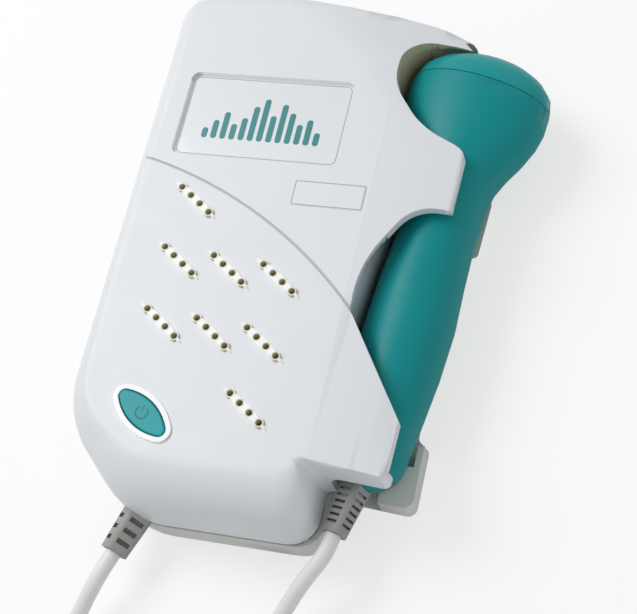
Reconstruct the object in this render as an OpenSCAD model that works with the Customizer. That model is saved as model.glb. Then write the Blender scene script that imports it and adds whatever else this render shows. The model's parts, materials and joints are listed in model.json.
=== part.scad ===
// Pocket fetal doppler: a palm-sized main unit with its ultrasound probe docked in the
// holder along its right side, lying on its back. X runs to the probe side, Y runs up the
// unit and Z comes out of the front face. The origin is on the table, under the middle of
// the unit and probe.

/* [Main unit] */
// Width of the battery side, left of the probe holder
bulge_w = 67; // [62:0.5:75]
// Thickness from the back to the front face
unit_h = 28.6; // [28:0.1:32]
// Height of the joint between the rear and the front shell
seam_z = 10; // [9.6:0.1:10.8]
// Wall of both shells
wall = 2.2; // [1.6:0.1:2.6]
// Height at which the side walls start to round into the front face
shoulder_z = 14; // [12:0.5:17]
// Slanted length that the lower left corner is cut by, along each side
corner_cut = 20.2; // [18:0.2:24]
// Radius that blends the cut corner
corner_r = 22; // [16:0.5:26]
// Shadow gap between the two shells
joint_gap = 0.3; // [0.1:0.05:0.5]
// Height of the front face above the cap of the docked probe
hood_rise = 11.1; // [9:0.1:14]

/* [Probe holder] */
// Distance from the lower edge of the unit to the foot of the holder
holder_y = 14.7; // [13:0.1:17]
// Thickness of the clips that lap over the probe
clip_t = 2.4; // [1.8:0.1:2.6]
// Fall of the front face from the battery side to the tips of the clips
crown_drop = 1.6; // [0.8:0.1:2.2]
// Wall of the cup round the foot of the probe
cup_wall = 3.2; // [2:0.1:4]
// Height of the cup wall
cup_h = 8.6; // [7:0.1:9]
// Floor of the holder under the probe
tray_t = 1.6; // [1.2:0.1:1.8]
// Clearance round the docked probe
dock_gap = 1.1; // [0.8:0.05:1.6]

/* [Probe] */
// Length from the centre of the rounded foot to the cap joint
probe_l = 99.6; // [92:0.2:108]
// Width of the handle at its widest
handle_w = 22.2; // [20:0.1:24]
// Width of the head
head_w = 37.8; // [34:0.1:40]
// Thickness of the handle
handle_t = 20; // [18:0.1:20.6]
// Height of the middle plane of the probe
probe_z = 14; // [13.6:0.1:14.4]
// Length of the domed face cap
cap_l = 11; // [9:0.1:13]
// Wall of the probe shells
probe_wall = 1.8; // [1.2:0.1:2.4]

/* [Front face] */
// Width of the sunk window
window_w = 44.5; // [38:0.5:48]
// Height of the sunk window
window_h = 24.6; // [20:0.2:28]
// Depth of the sunk window
window_deep = 1.5; // [0.8:0.1:1.8]
// Length of one raised grille rib
rib_l = 19; // [14:0.2:22]
// Width of one raised grille rib
rib_w = 3.8; // [3:0.1:5]
// Height of a rib over the front face
rib_h = 0.7; // [0.4:0.05:1.2]
// Bore of a grille hole
hole_d = 1.8; // [1:0.1:2.2]
// Distance between the holes of a rib
hole_pitch = 3.6; // [3:0.1:4]
// Length of the lens-shaped power button
button_l = 16.2; // [13:0.2:19]
// Width of the lens-shaped power button
button_w = 6.7; // [6:0.1:9]
// Travel of the power button
button_travel = 0.8; // [0.4:0.05:1]

/* [Power and sound] */
// Diameter of an AA cell
cell_d = 14.5; // [13.5:0.1:14.6]
// Length of an AA cell with its nub
cell_l = 50.5; // [48:0.1:52]
// Number of cells, side by side
cells = 3; // [2:1:3]
// Diameter of the speaker
speaker_d = 40; // [32:0.5:41]
// Diameter of the volume wheel
wheel_d = 16; // [13:0.2:18]
// Thickness of the volume wheel
wheel_t = 3; // [2:0.1:3.4]
// Bore of the earphone socket
jack_bore = 3.6; // [3:0.1:3.8]

/* [Lead] */
// Diameter of the probe lead
lead_d = 4; // [3.6:0.1:5]
// Gap between the turns of the coiled lead
turn_gap = 0.6; // [0.5:0.05:1]
// Turns in each layer of the coil
layer_turns = 4; // [2:1:5]

/* [Hidden] */

// Smoothness of turned shapes and of bores
fine = 64;
bore_fn = 32;
// How far a cut runs past what it cuts, and how far a post is let into what it stands on
over = 1;
seat = 0.1;

// Foot of the docked probe, about which it swings out of the holder
foot_w_share = 0.838;
foot_r = foot_w_share * handle_w / 2;
foot_x = bulge_w + foot_r;
foot_y = holder_y + foot_r;

// Overall sizes
unit_w = foot_x + foot_r + 1.7 * dock_gap;
unit_l = foot_y + probe_l + cap_l + hood_rise;
head_x = foot_x + 0.2196 * head_w;
head_y = foot_y + probe_l;
head_tilt = -11;
reach_w = head_x + 0.985 * head_w / 2;

// Room beside the probe: the right wall of the battery side and the wall at the probe's head
bay_side = bulge_w - 1.864 * wall;
head_side = head_x - head_w / 2 - dock_gap - 1.09 * wall;

// Front face and clips
crown_x = 0.925 * bulge_w;
crown_r = (pow(unit_w - crown_x, 2) + pow(crown_drop, 2)) / (2 * crown_drop);
crown_axis_z = unit_h - crown_r;

// Cradle of the AA cells, a bay between ribs of the rear shell
cell_gap = 0.2;
cell_pitch = cell_d + cell_gap;
bay_wall = 1.3;
bay_x = 11.8;
bay_y = 11.5;
bay_w = cells * cell_pitch + 2 * cell_gap;
contact_t = 0.4;
spring_l = 4.4;
bay_l = cell_l + spring_l + 2 * contact_t;
door_t = 1.9;
door_z = 0.2;
door_gap = 0.3;
door_lap = 1.2;
door_x = bay_x - door_lap;
door_w = bay_w + 2 * door_lap;
hinge_y = bay_y + bay_l - door_t / 2;
hinge_z = door_z + door_t / 2;
recess_z = door_z + door_t + door_gap;
cell_z = recess_z + cell_d / 2;
bay_top = cell_z + cell_d / 2 + door_gap;

// Speaker, hung over the cells against the inside of the front face
speaker_x = 0.522 * bulge_w;
speaker_y = 52;
cloth_t = 0.6;
ceiling_z = unit_h - wall;
speaker_top = ceiling_z - cloth_t;
speaker_room = speaker_top - bay_top;
magnet_t = 0.35 * speaker_room;
magnet_d = 0.45 * speaker_d;
speaker_base = speaker_top - 0.605 * speaker_room;
rim_t = 0.28 * speaker_room;

// Boards
board_t = 1.6;
board_drop = 9;
board_z = ceiling_z - board_drop;
board_in = 2.8;
board_x = wall + board_in;
board_y = bay_y + bay_l + 1.43 * board_in;
board_w = head_side - board_x - 0.2 * board_in;
board_l = unit_l - board_y - 2 * board_drop;
switch_h = 3.5;
flange_t = 1;
flange_gap = 0.2;
button_x = 0.349 * bulge_w;
button_y = 21.3;
button_tip_r = 1.5;
button_turn = -35;
button_proud = 0.6;
button_gap = 0.25;
switch_top = ceiling_z - flange_gap - flange_t - button_travel - seat;
switch_board_z = switch_top - switch_h - board_t;
flange_lap = 1.3;
switch_post_d = 2.6;
switch_post_x = button_l / 2 + flange_lap + switch_post_d / 2 + button_gap;
switch_board_w = 2 * switch_post_x + switch_post_d;
switch_board_l = 8.5;

// Side controls, on the left wall
wheel_y = board_y + 0.513 * board_l;
wheel_proud = 0.8;
wheel_x = wheel_d / 2 - wheel_proud;
wheel_gap = 0.5;
wheel_z = board_z - board_t - wheel_t - 0.8 * wheel_gap;
jack_y = board_y + 0.832 * board_l;
jack_d = 6;
jack_l = 14;
jack_z = board_z - jack_d / 2 - seat;
jack_fit = 0.2;

// Screws
screw_d = 2.4;
screw_hole = 3;
screw_pilot = 2.5;
screw_head_d = 5;
screw_head_t = 1.8;
screw_head_gap = 0.3;
screw_sink = 4.6;
boss_d = 6.2;
screw_deep = 7;
screw_tip_gap = 0.5;
screw_places = [
    [wall + 0.42 * boss_d, bay_y + 0.482 * bay_l],
    [bulge_w - wall - 0.645 * boss_d, wall + 0.694 * boss_d],
    [wall + 0.452 * boss_d, unit_l - wall - 1.532 * boss_d],
    [bulge_w - 1.258 * boss_d, unit_l - wall - 1.871 * boss_d]
];
post_d = 4.4;
board_posts = [
    [board_x + 0.91 * post_d, board_y + 1.14 * post_d],
    [board_x + board_w - 0.91 * post_d, board_y + 1.14 * post_d],
    [board_x + 0.4 * board_w, board_y + board_l - 0.91 * post_d]
];
small_screw_d = 1.6;
small_screw_gap = 0.15;
small_head_d = 3.2;
small_head_t = 1;
small_bite = 4;

// Lead and its two strain reliefs, in the frame of the whole object
unit_exit = [-34, -81, 9.5];
probe_exit = [20, -69.5, 13.5];
unit_route = [
    unit_exit, [-35.6, -85.6, 9.5], [-37.6, -90.4, 8.2], [-40, -95.4, 5.4],
    [-42.6, -100.6, 3], [-45.2, -106, 2], [-47.6, -112, 2], [-49.4, -119, 2],
    [-50.4, -126, 2], [-50.5, -131.5, 2], [-50.5, -136, 2]
];
probe_route = [
    [22.5, -136, 6.6], [22.5, -131.5, 6.6], [22.2, -126, 5.6], [21.2, -120, 3.6],
    [19.6, -114.5, 2.4], [16.4, -108.4, 2], [12.6, -102.6, 2], [9.4, -96.6, 2.4],
    [8.8, -91.2, 4.2], [11.4, -85.8, 7.4], [15, -80.4, 11], [18.8, -74.8, 13.5], probe_exit
];
coil_center = [-14, -140];
coil_r = 36.5;
turn_pitch = lead_d + turn_gap;
coil_r_in = coil_r - layer_turns * turn_pitch;
coil_z = lead_d / 2;
coil_sides = 6;
coil_steps = 24;
lead_sides = 8;

// Unit vector, turned vector and mix of two values
function unit(v) = v / norm(v);
function turned(v, a) = [v[0] * cos(a) - v[1] * sin(a), v[0] * sin(a) + v[1] * cos(a)];
function mix(a, b, s) = a * (1 - s) + b * s;
function flat(list) = [for (part = list) for (item = part) item];

// Round one corner q between p and s with n steps
function corner(p, q, s, r, n) =
    let (
        a = unit(p - q),
        b = unit(s - q),
        half = acos(max(-1, min(1, a * b))) / 2,
        c = q + unit(a + b) * r / sin(half),
        v = q + a * r / tan(half) - c,
        turn = 180 - 2 * half,
        way = sign(cross(-a, b))
    )
    r == 0 ? [q] : [for (i = [0 : n]) c + turned(v, way * turn * i / n)];

// Closed outline through corners [x, y, radius]
function rounded(list, n) =
    let (k = len(list))
    flat([for (i = [0 : k - 1])
        corner(
            [list[(i + k - 1) % k][0], list[(i + k - 1) % k][1]],
            [list[i][0], list[i][1]],
            [list[(i + 1) % k][0], list[(i + 1) % k][1]],
            list[i][2], n)]);

// Outline at one height
function ring(outline, z) = [for (p = outline) [p[0], p[1], z]];

// Closed skin over rings that have the same number of points
module skin(rings) {
    n = len(rings[0]);
    m = len(rings);
    points = flat(rings);
    sides = flat([for (k = [0 : m - 2]) flat([for (i = [0 : n - 1])
        let (j = (i + 1) % n)
        [
            [k * n + i, (k + 1) * n + i, (k + 1) * n + j],
            [k * n + i, (k + 1) * n + j, k * n + j]
        ]])]);
    lid = [[for (i = [0 : n - 1]) i], [for (i = [n - 1 : -1 : 0]) (m - 1) * n + i]];
    polyhedron(points = points, faces = concat(sides, lid), convexity = 8);
}

// Moves what is drawn from the lower left corner of the unit to the middle of the object
module placed() {
    translate([-reach_w / 2, -unit_l / 2, 0]) children();
}

// Corners of the plan that follow the whole unit: shares of its width and of its length,
// with a radius as a share of its width
top_shares = [[0.845, 0.9574, 0.34], [0.41, 1.0014, 0.69], [0, 0.9952, 0.103]];
top_in_shares = [[0.83, 0.9341, 0.3], [0.4, 0.9574, 0.57], [0.0766, 0.9533, 0.069]];
roof_shares = [[0.41, 0.9849, 0.57], [0.025, 0.9794, 0.08]];
roof_in_shares = [[0.4, 0.9451, 0.457], [0.0857, 0.941, 0.057]];
function on_plan(shares) = [for (p = shares) [p[0] * unit_w, p[1] * unit_l, p[2] * unit_w]];

// Plan of the shells: the wall line and the edge of the flat front face
lower_r = 7;
notch_r = 1.5;
side_r = 30;
hood_tip_r = 1.7;
clip_lip = 1.3;
lower_crest = 12;
side_crest = 6.7;
clip_crest = 1;
clip_x = foot_x + 0.286 * head_w;
clip_y = head_y - 0.241 * probe_l;
clip_foot_x = foot_x + 0.222 * head_w;
hood_tip = [unit_w + 1.36 * dock_gap, unit_l - 1.135 * hood_rise];
front_outer = rounded(concat([
    [corner_cut, 0, corner_r],
    [bulge_w, 0, lower_r],
    [bulge_w, holder_y, notch_r],
    [clip_foot_x, holder_y - clip_lip, notch_r],
    [clip_x, clip_y, side_r],
    [hood_tip[0], hood_tip[1], hood_tip_r]
], on_plan(top_shares), [[0, corner_cut, corner_r]]), 6);
front_inner = rounded(concat([
    [corner_cut + 0.21 * lower_crest, lower_crest, corner_r - 0.25 * lower_crest],
    [bulge_w - 0.5 * lower_crest, lower_crest, lower_r - clip_crest],
    [bulge_w - 4 * clip_crest, holder_y + 1.5 * clip_crest, notch_r],
    [clip_foot_x - 0.7 * clip_crest, holder_y - 0.2 * clip_crest, notch_r - 0.3 * clip_crest],
    [clip_x - 0.7 * clip_crest, clip_y - clip_crest, side_r],
    [hood_tip[0] - clip_crest, hood_tip[1] - clip_crest, hood_tip_r]
], on_plan(top_in_shares), [[side_crest, corner_cut + 0.6 * side_crest, corner_r - 0.6 * side_crest]]), 6);

// Plan of the room inside, with the electronics beside the probe
bay_bend_y = foot_y + 0.72 * probe_l;
head_bend_y = head_y - 0.09 * probe_l;
bend_r = 20;
cavity_outer = rounded(concat([
    [corner_cut + 0.41 * wall, wall, corner_r - wall],
    [bay_side, wall, lower_r - 0.9 * wall],
    [bay_side, bay_bend_y, bend_r],
    [head_side, head_bend_y, bend_r],
    [head_side, unit_l - 3 * wall, 2 * wall]
], on_plan(roof_shares), [[wall, corner_cut + 0.41 * wall, corner_r - wall]]), 4);
cavity_inner = rounded(concat([
    [corner_cut + 0.28 * lower_crest, lower_crest + 0.27 * wall, corner_r - 0.33 * lower_crest],
    [bay_side - 0.7 * wall, lower_crest + 0.27 * wall, lower_r - 1.3 * wall],
    [bay_side - 0.23 * wall, bay_bend_y, bend_r],
    [head_side - 0.23 * wall, head_bend_y, bend_r],
    [head_side - 0.23 * wall, unit_l - 5 * wall, 2 * wall]
], on_plan(roof_in_shares), [
    [side_crest + 0.36 * wall, corner_cut + 0.73 * side_crest, corner_r - 0.73 * side_crest]
]), 4);

// Rings that round a wall into a flat face: outer and inner outlines, start and end height
function crest(outer, inner, z0, z1, n) =
    [for (k = [0 : n]) ring(mix(outer, inner, 1 - cos(90 * k / n)), z0 + (z1 - z0) * sin(90 * k / n))];

// Stations of the probe: place along it and across, tilt, share of the handle's width,
// share of the head's width, share of the handle's thickness
probe_shares = [
    [0, 0, 0, 0.838, 0, 0.86],
    [0.10, 0.016, 0, 0.928, 0, 0.94],
    [0.21, 0.045, 0, 0.982, 0, 0.99],
    [0.34, 0.074, 0, 1, 0, 1],
    [0.46, 0.091, 0, 0.950, 0, 1],
    [0.56, 0.116, -1, 0.892, 0, 1],
    [0.64, 0.138, -3, 0.883, 0, 1],
    [0.70, 0.146, -5, 0.919, 0, 1.01],
    [0.75, 0.151, -6, 0, 0.598, 1.03],
    [0.80, 0.159, -8, 0, 0.714, 1.07],
    [0.85, 0.172, -9, 0, 0.857, 1.12],
    [0.90, 0.188, -10, 0, 0.952, 1.16],
    [0.95, 0.204, -11, 0, 1, 1.18],
    [1, 0.2196, -11, 0, 0.995, 1.18]
];
foot_angles = [84, 64, 46, 30, 14];
cap_angles = [0, 20, 38, 54, 68, 80, 87];
probe_sides = 28;
stations = len(probe_shares);

// Middle, half width and half thickness at one station
function station_x(i) = foot_x + probe_shares[i][1] * head_w;
function station_y(i) = foot_y + probe_shares[i][0] * probe_l;
function half_w(i) = (probe_shares[i][3] * handle_w + probe_shares[i][4] * head_w) / 2;
function half_t(i) = probe_shares[i][5] * handle_t / 2;

// Ellipse across the probe, in its middle plane's frame
function section(x, y, tilt, a, b) =
    [for (k = [0 : probe_sides - 1])
        let (f = 360 * k / probe_sides)
        [x + a * cos(f) * cos(tilt), y + a * cos(f) * sin(tilt), probe_z - b * sin(f)]];

// Rings of the probe body, drawn in by a wall, from the foot to the cap joint
function body_rings(inset) =
    concat(
        [for (t = foot_angles)
            section(foot_x, foot_y - (foot_r - inset) * sin(t), 0,
                (half_w(0) - inset) * cos(t), (half_t(0) - inset) * cos(t))],
        [for (i = [0 : stations - 1])
            section(station_x(i), station_y(i), probe_shares[i][2], half_w(i) - inset, half_t(i) - inset)]);

// Rings of the domed cap, from the joint to its top
function cap_rings(inset, start) =
    [for (t = cap_angles)
        let (rise = start + (cap_l - start - inset) * sin(t))
        section(
            head_x - rise * sin(head_tilt), head_y + rise * cos(head_tilt), head_tilt,
            (half_w(stations - 1) - inset) * cos(t), (half_t(stations - 1) - inset) * cos(t))];

// Left edge of the docked probe, pushed out by a clearance
function left_edge(gap) =
    [for (i = [0 : stations - 1])
        [station_x(i) - (half_w(i) + gap) * cos(probe_shares[i][2]),
         station_y(i) - (half_w(i) + gap) * sin(probe_shares[i][2])]];

// Bed of the docked probe in plan, open to the right: round the foot, up the handle and
// round the domed cap
bed_foot_y = holder_y + 0.773 * wall;
bed_foot_turn = asin((foot_y - bed_foot_y) / (foot_r + dock_gap));
function cap_edge(t, gap) =
    [head_x - (cap_l + gap) * sin(t) * sin(head_tilt) - (head_w / 2 + gap) * cos(t) * cos(head_tilt),
     head_y + (cap_l + gap) * sin(t) * cos(head_tilt) - (head_w / 2 + gap) * cos(t) * sin(head_tilt)];
bed_outline = concat(
    [[head_x + head_w, bed_foot_y]],
    [for (k = [4 : -1 : 1])
        let (f = 180 + bed_foot_turn * k / 4)
        [foot_x + (foot_r + dock_gap) * cos(f), foot_y + (foot_r + dock_gap) * sin(f)]],
    left_edge(dock_gap),
    [for (t = [12 : 12 : 84]) cap_edge(t, dock_gap)],
    [for (p = [cap_edge(84, dock_gap)]) [head_x + head_w, p[1]]]);

// Frame of the probe's cap joint, with Z out of the face
module at_head() {
    translate([head_x, head_y, probe_z]) rotate([0, 0, head_tilt]) rotate([-90, 0, 0]) children();
}

// Space under the front face, with the fall towards the clips
module under_crown(drop) {
    translate([0, unit_l + over, 0]) rotate([90, 0, 0]) linear_extrude(unit_l + 2 * over) {
        translate([-over, -over]) square([crown_x + over, unit_h - drop + over]);
        intersection() {
            translate([crown_x, crown_axis_z]) circle(r = crown_r - drop, $fn = 4 * fine);
            translate([crown_x - over, -over]) square([reach_w, unit_h + 2 * over]);
        }
    }
}

// Space that is cut away over the fall, from just past where it starts
crown_start = 4;
module over_crown() {
    translate([0, unit_l + over, 0]) rotate([90, 0, 0]) linear_extrude(unit_l + 2 * over) difference() {
        translate([crown_x + crown_start, shoulder_z]) square([reach_w, unit_h]);
        translate([crown_x, crown_axis_z]) circle(r = crown_r, $fn = 4 * fine);
    }
}

// Window in the front shell that shows the probe, from the hood round to the lower clip,
// as shares of the head's width and the probe's length from its foot, and a corner radius
grip_shares = [
    [0.90, 1.040, 0], [0.098, 1.104, 0.48], [-0.302, 1.098, 0.22], [-0.302, 0.947, 0.42],
    [-0.048, 0.821, 0.58], [0.286, 0.765, 0.13], [0.286, 0.596, 0.02], [0.026, 0.598, 0.27],
    [-0.233, 0.428, 0.8], [-0.233, 0.304, 0.02], [0.243, 0.03, 0.12], [0.235, -0.04, 0],
    [0.90, -0.04, 0]
];
grip_window = rounded([
    for (p = grip_shares) [foot_x + p[0] * head_w, foot_y + p[1] * probe_l, p[2] * head_w]
], 8);

// Ridge where the upper right of the front face starts to fall away towards the hood
ridge_shares = [[0.23, 0.975], [0.62, 0.955], [0.6, 0.775], [0.88, 0.712]];
fall_shares = [[0.28, 1.05], [0.74, 1.04], [1.05, 1], [1.2, 0.8]];
fall_z = 0.32;
fall_steps = 10;
function on_face(p) = [p[0] * unit_w, p[1] * unit_l];
function bezier(p, t) =
    pow(1 - t, 3) * on_face(p[0]) + 3 * t * pow(1 - t, 2) * on_face(p[1])
    + 3 * t * t * (1 - t) * on_face(p[2]) + pow(t, 3) * on_face(p[3]);
module hood_fall() {
    skin([for (k = [0 : fall_steps])
        let (
            t = k / fall_steps,
            a = bezier(ridge_shares, t),
            b = bezier(fall_shares, t),
            drop = fall_z * norm(b - a)
        )
        [
            [a[0], a[1], unit_h + over], [a[0], a[1], unit_h],
            concat(mix(a, b, 0.35), unit_h - 0.22 * drop),
            concat(mix(a, b, 0.7), unit_h - 0.6 * drop),
            [b[0], b[1], unit_h - drop], [b[0], b[1], unit_h + over]
        ]]);
}

// Lens shape of a length and width, as the overlap of two rounds, with rounded tips
module lens(l, w, h, tip) {
    core_l = l - 2 * tip;
    core_w = w - 2 * tip;
    r = (core_l * core_l + core_w * core_w) / (4 * core_w);
    linear_extrude(h) offset(r = tip, $fn = bore_fn) intersection_for(side = [-1, 1]) {
        translate([0, side * (r - core_w / 2)]) circle(r = r, $fn = 2 * fine);
    }
}

// Pointed lens with flanks that slope in towards the top
module sloped_lens(l, w, h, slope) {
    r = (l * l + w * w) / (4 * w);
    intersection_for(side = [-1, 1]) {
        translate([0, side * (r - w / 2), 0]) cylinder(r1 = r, r2 = r - slope, h = h, $fn = 2 * fine);
    }
}

// Places of the grille ribs on the front face: columns, rows and which of them are there
rib_cols = [0.325, 0.523, 0.72];
rib_pitch = 17.1;
rib_first_y = 25.8;
rib_fall = 1;
rib_turn = -36;
rib_grid = [[1, 2, 3], [1, 2], [0, 1, 2]];
module at_ribs() {
    for (c = [0 : len(rib_cols) - 1]) for (row = rib_grid[c]) {
        translate([rib_cols[c] * bulge_w, rib_first_y + row * rib_pitch + (2 - c) * rib_fall, 0])
            rotate([0, 0, rib_turn]) children();
    }
}
module at_button() {
    translate([button_x, button_y, 0]) rotate([0, 0, button_turn]) children();
}

// Axis of each strain relief, from its tip into the part that holds it
unit_tip = [unit_exit[0] + reach_w / 2, unit_exit[1] + unit_l / 2, unit_exit[2]];
unit_aim = atan2(10.95, 3.85);
probe_tip = [probe_exit[0] + reach_w / 2, probe_exit[1] + unit_l / 2, probe_exit[2]];
probe_aim = atan2(foot_y - probe_tip[1], foot_x - probe_tip[0]);
module at_unit_tip() {
    translate(unit_tip) rotate([0, 0, unit_aim]) rotate([0, 90, 0]) children();
}
module at_probe_tip() {
    translate(probe_tip) rotate([0, 0, probe_aim]) rotate([0, 90, 0]) children();
}
relief_neck_d = 5.6;
relief_neck_gap = 0.3;
relief_flange_d = 8.6;
relief_flange_t = 1.6;
unit_relief_l = 13.4;
lead_fit = 0.05;
probe_relief_l = norm([foot_x - probe_tip[0], foot_y - probe_tip[1]]) - foot_r;

// Window pad, sunk in the front face
window_x = 0.166 * bulge_w;
window_y = head_y - 0.3153 * probe_l;
window_r = 2.2;
panel_t = 0.4;
pad_t = 1;
pad_lap = 1;

// Front shell: the moulded upper housing with the hood and the two clips over the probe
module front_shell_block() {
    difference() {
        skin(concat(
            [ring(front_outer, seam_z - over)],
            crest(front_outer, front_inner, shoulder_z, unit_h, 6),
            [ring(front_inner, unit_h + over)]));
        translate([-over, -over, unit_h]) cube([reach_w, unit_l + 3 * over, 2 * over]);
        translate([-over, -over, seam_z - 2 * over]) cube([reach_w, unit_l + 3 * over, 2 * over]);
        over_crown();
        hood_fall();
        translate([0, 0, seam_z - over]) linear_extrude(unit_h) polygon(grip_window);
    }
}

clip_deep = 6;
hood_deep = 8.2;
module probe_bed_space() {
    intersection() {
        translate([0, 0, seam_z - over]) linear_extrude(unit_h) polygon(bed_outline);
        union() {
            intersection() {
                under_crown(clip_t);
                cube([reach_w, foot_y + 0.865 * probe_l, unit_h]);
            }
            cube([reach_w, head_y + 2 * over, unit_h - clip_deep]);
            cube([reach_w, unit_l, unit_h - hood_deep]);
        }
    }
}

arch_x = bulge_w + 1.09 * wall;
arch_r = 4;
module foot_arch() {
    arch = rounded([
        [arch_x, seam_z - over, 0], [arch_x, probe_z + 0.32 * handle_t, arch_r],
        [reach_w, probe_z + 0.38 * handle_t, 0], [reach_w, seam_z - over, 0]
    ], 6);
    translate([0, foot_y, 0]) rotate([90, 0, 0]) linear_extrude(foot_y) polygon(arch);
}

rib_slope = 0.7;
rim_w = 1.5;
rim_h = 0.5;
module front_shell() {
    color([0.89, 0.91, 0.92]) placed() difference() {
        union() {
            difference() {
                front_shell_block();
                difference() {
                    skin(concat(
                        [ring(cavity_outer, seam_z - over)],
                        crest(cavity_outer, cavity_inner, shoulder_z, ceiling_z, 4)));
                    translate([0, 0, -wall]) hood_fall();
                }
                probe_bed_space();
                foot_arch();
            }
            at_ribs() translate([0, 0, unit_h - wall / 2])
                sloped_lens(rib_l, rib_w, wall / 2 + rib_h, rib_slope);
            at_button() translate([0, 0, unit_h - wall / 2])
                lens(button_l + 2 * rim_w, button_w + 2 * rim_w, wall / 2 + rim_h, button_tip_r + rim_w);
            translate([window_x - pad_lap, window_y - pad_lap, ceiling_z - pad_t])
                cube([window_w + 2 * pad_lap, window_h + 2 * pad_lap, pad_t + seat]);
            for (p = screw_places) translate([p[0], p[1], seam_z])
                cylinder(d = boss_d, h = screw_deep + wall, $fn = bore_fn);
            for (p = board_posts) translate([p[0], p[1], board_z + board_t])
                cylinder(d = post_d, h = ceiling_z - board_z - board_t + seat, $fn = bore_fn);
            for (side = [-1, 1]) at_button() translate([side * switch_post_x, 0, switch_board_z + board_t])
                cylinder(d = switch_post_d, h = ceiling_z - switch_board_z - board_t + seat, $fn = bore_fn);
        }
        at_ribs() for (k = [-1.5, -0.5, 0.5, 1.5]) translate([k * hole_pitch, 0, ceiling_z - 2 * over])
            cylinder(d = hole_d, h = wall + rib_h + 3 * over, $fn = bore_fn);
        at_button() translate([0, 0, ceiling_z - over])
            lens(
                button_l + 2 * button_gap, button_w + 2 * button_gap,
                wall + 3 * over, button_tip_r + button_gap);
        translate([window_x, window_y, unit_h - window_deep]) linear_extrude(window_deep + over)
            translate([window_r, window_r]) offset(r = window_r, $fn = bore_fn)
                square([window_w - 2 * window_r, window_h - 2 * window_r]);
        for (p = screw_places) translate([p[0], p[1], seam_z - over])
            cylinder(d = screw_pilot, h = screw_deep + over, $fn = bore_fn);
        for (p = board_posts) translate([p[0], p[1], board_z + board_t - over])
            cylinder(d = small_screw_d + seat, h = small_bite + 2 * over, $fn = bore_fn);
        groove();
        wheel_slot();
        translate([-over, jack_y, jack_z]) rotate([0, 90, 0])
            cylinder(d = jack_d + 2 * jack_fit, h = wall + 3 * over, $fn = bore_fn);
        at_unit_tip() cylinder(d = relief_neck_d + 2 * relief_neck_gap, h = 2 * unit_relief_l, $fn = bore_fn);
    }
}

// Fine moulded line that sweeps over the front face
groove_r = 127.4;
groove_w = 0.6;
groove_deep = 0.4;
module groove() {
    translate([-0.37 * bulge_w, foot_y - 0.577 * probe_l, unit_h - groove_deep]) difference() {
        cylinder(r = groove_r + groove_w / 2, h = over, $fn = 4 * fine);
        translate([0, 0, -over]) cylinder(r = groove_r - groove_w / 2, h = 3 * over, $fn = 4 * fine);
    }
}

module wheel_slot() {
    translate([wheel_x, wheel_y, wheel_z - wheel_gap])
        cylinder(d = wheel_d + 2 * wheel_gap, h = wheel_t + 2 * wheel_gap, $fn = fine);
}

// Rear shell: the tray under the electronics and the probe, with the cup and the battery bay
ledge_w = 1.4;
ledge_r = 3;
cup_r = 2.5;
tab_w = 2;
tab_y = head_y - 0.3956 * probe_l;
tab_top_y = head_y - 0.231 * probe_l;
rear_outer = rounded(concat([
    [corner_cut, 0, corner_r],
    [bulge_w + ledge_w, 0, lower_r],
    [bulge_w + ledge_w, holder_y, ledge_r],
    [unit_w, holder_y - clip_lip, cup_r],
    [unit_w, foot_y + 0.72 * foot_r, cup_r],
    [unit_w - cup_wall, foot_y + foot_r, notch_r],
    [unit_w - cup_wall, tab_y - tab_w, notch_r],
    [unit_w + tab_w, tab_y, notch_r],
    [unit_w + 1.5 * tab_w, tab_top_y, cup_r],
    [unit_w - tab_w, tab_top_y + 1.5 * tab_w, notch_r],
    [hood_tip[0], hood_tip[1], hood_tip_r]
], on_plan(top_shares), [[0, corner_cut, corner_r]]), 5);
back_round = 2.4;
module rear_block() {
    foot = [for (k = [0 : 2]) let (s = back_round * (1 - sin(30 * k + 30)))
        [for (i = [0 : len(rear_outer) - 1])
            let (
                n = len(rear_outer),
                d = rear_outer[(i + 1) % n] - rear_outer[(i + n - 1) % n]
            )
            [rear_outer[i][0] - s * unit(d)[1], rear_outer[i][1] + s * unit(d)[0],
                back_round * (1 - cos(30 * k + 30))]]];
    base = [for (p = foot[0]) [p[0], p[1], -over]];
    difference() {
        skin(concat([base], foot, [ring(rear_outer, seam_z + over)]));
        translate([-over, -over, seam_z - joint_gap]) cube([reach_w, unit_l + 3 * over, 2 * over]);
        translate([-over, -over, -2 * over]) cube([reach_w, unit_l + 3 * over, 2 * over]);
    }
}

cup_lip = cup_wall / 2;
module cup_space() {
    translate([0, 0, tray_t]) linear_extrude(unit_h) difference() {
        union() {
            polygon(concat(
                [for (t = [200 : 10 : 360])
                    [foot_x + 0.84 * foot_r * cos(t), foot_y + 0.84 * foot_r * sin(t)]],
                [[unit_w - cup_lip, foot_y + 0.25 * foot_r], [unit_w - cup_lip, foot_y + foot_r],
                 [foot_x, foot_y + 1.2 * foot_r], [foot_x - half_w(1) - dock_gap, foot_y + 1.2 * foot_r]]));
            translate([arch_x, 0]) square([1.7 * relief_neck_d, foot_y]);
            difference() {
                polygon(bed_outline);
                square([reach_w, foot_y]);
            }
        }
        translate([unit_w - cup_lip, 0]) square([2 * cup_wall, foot_y + 0.6 * foot_r]);
    }
}

// Ribs of the cradle round the cells, let into the walls below the joint and clear of the
// front shell above it, and the roof of the recess that the battery door slides in
module bay_ribs() {
    intersection() {
        translate([bay_x - bay_wall, bay_y - bay_wall, wall / 2])
            cube([bay_w + 2 * bay_wall, bay_l + 2 * bay_wall, bay_top - wall / 2]);
        union() {
            linear_extrude(seam_z - joint_gap) offset(delta = wall / 4) polygon(cavity_outer);
            linear_extrude(unit_h) offset(delta = -bay_wall / 2) polygon(cavity_outer);
        }
    }
}

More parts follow.
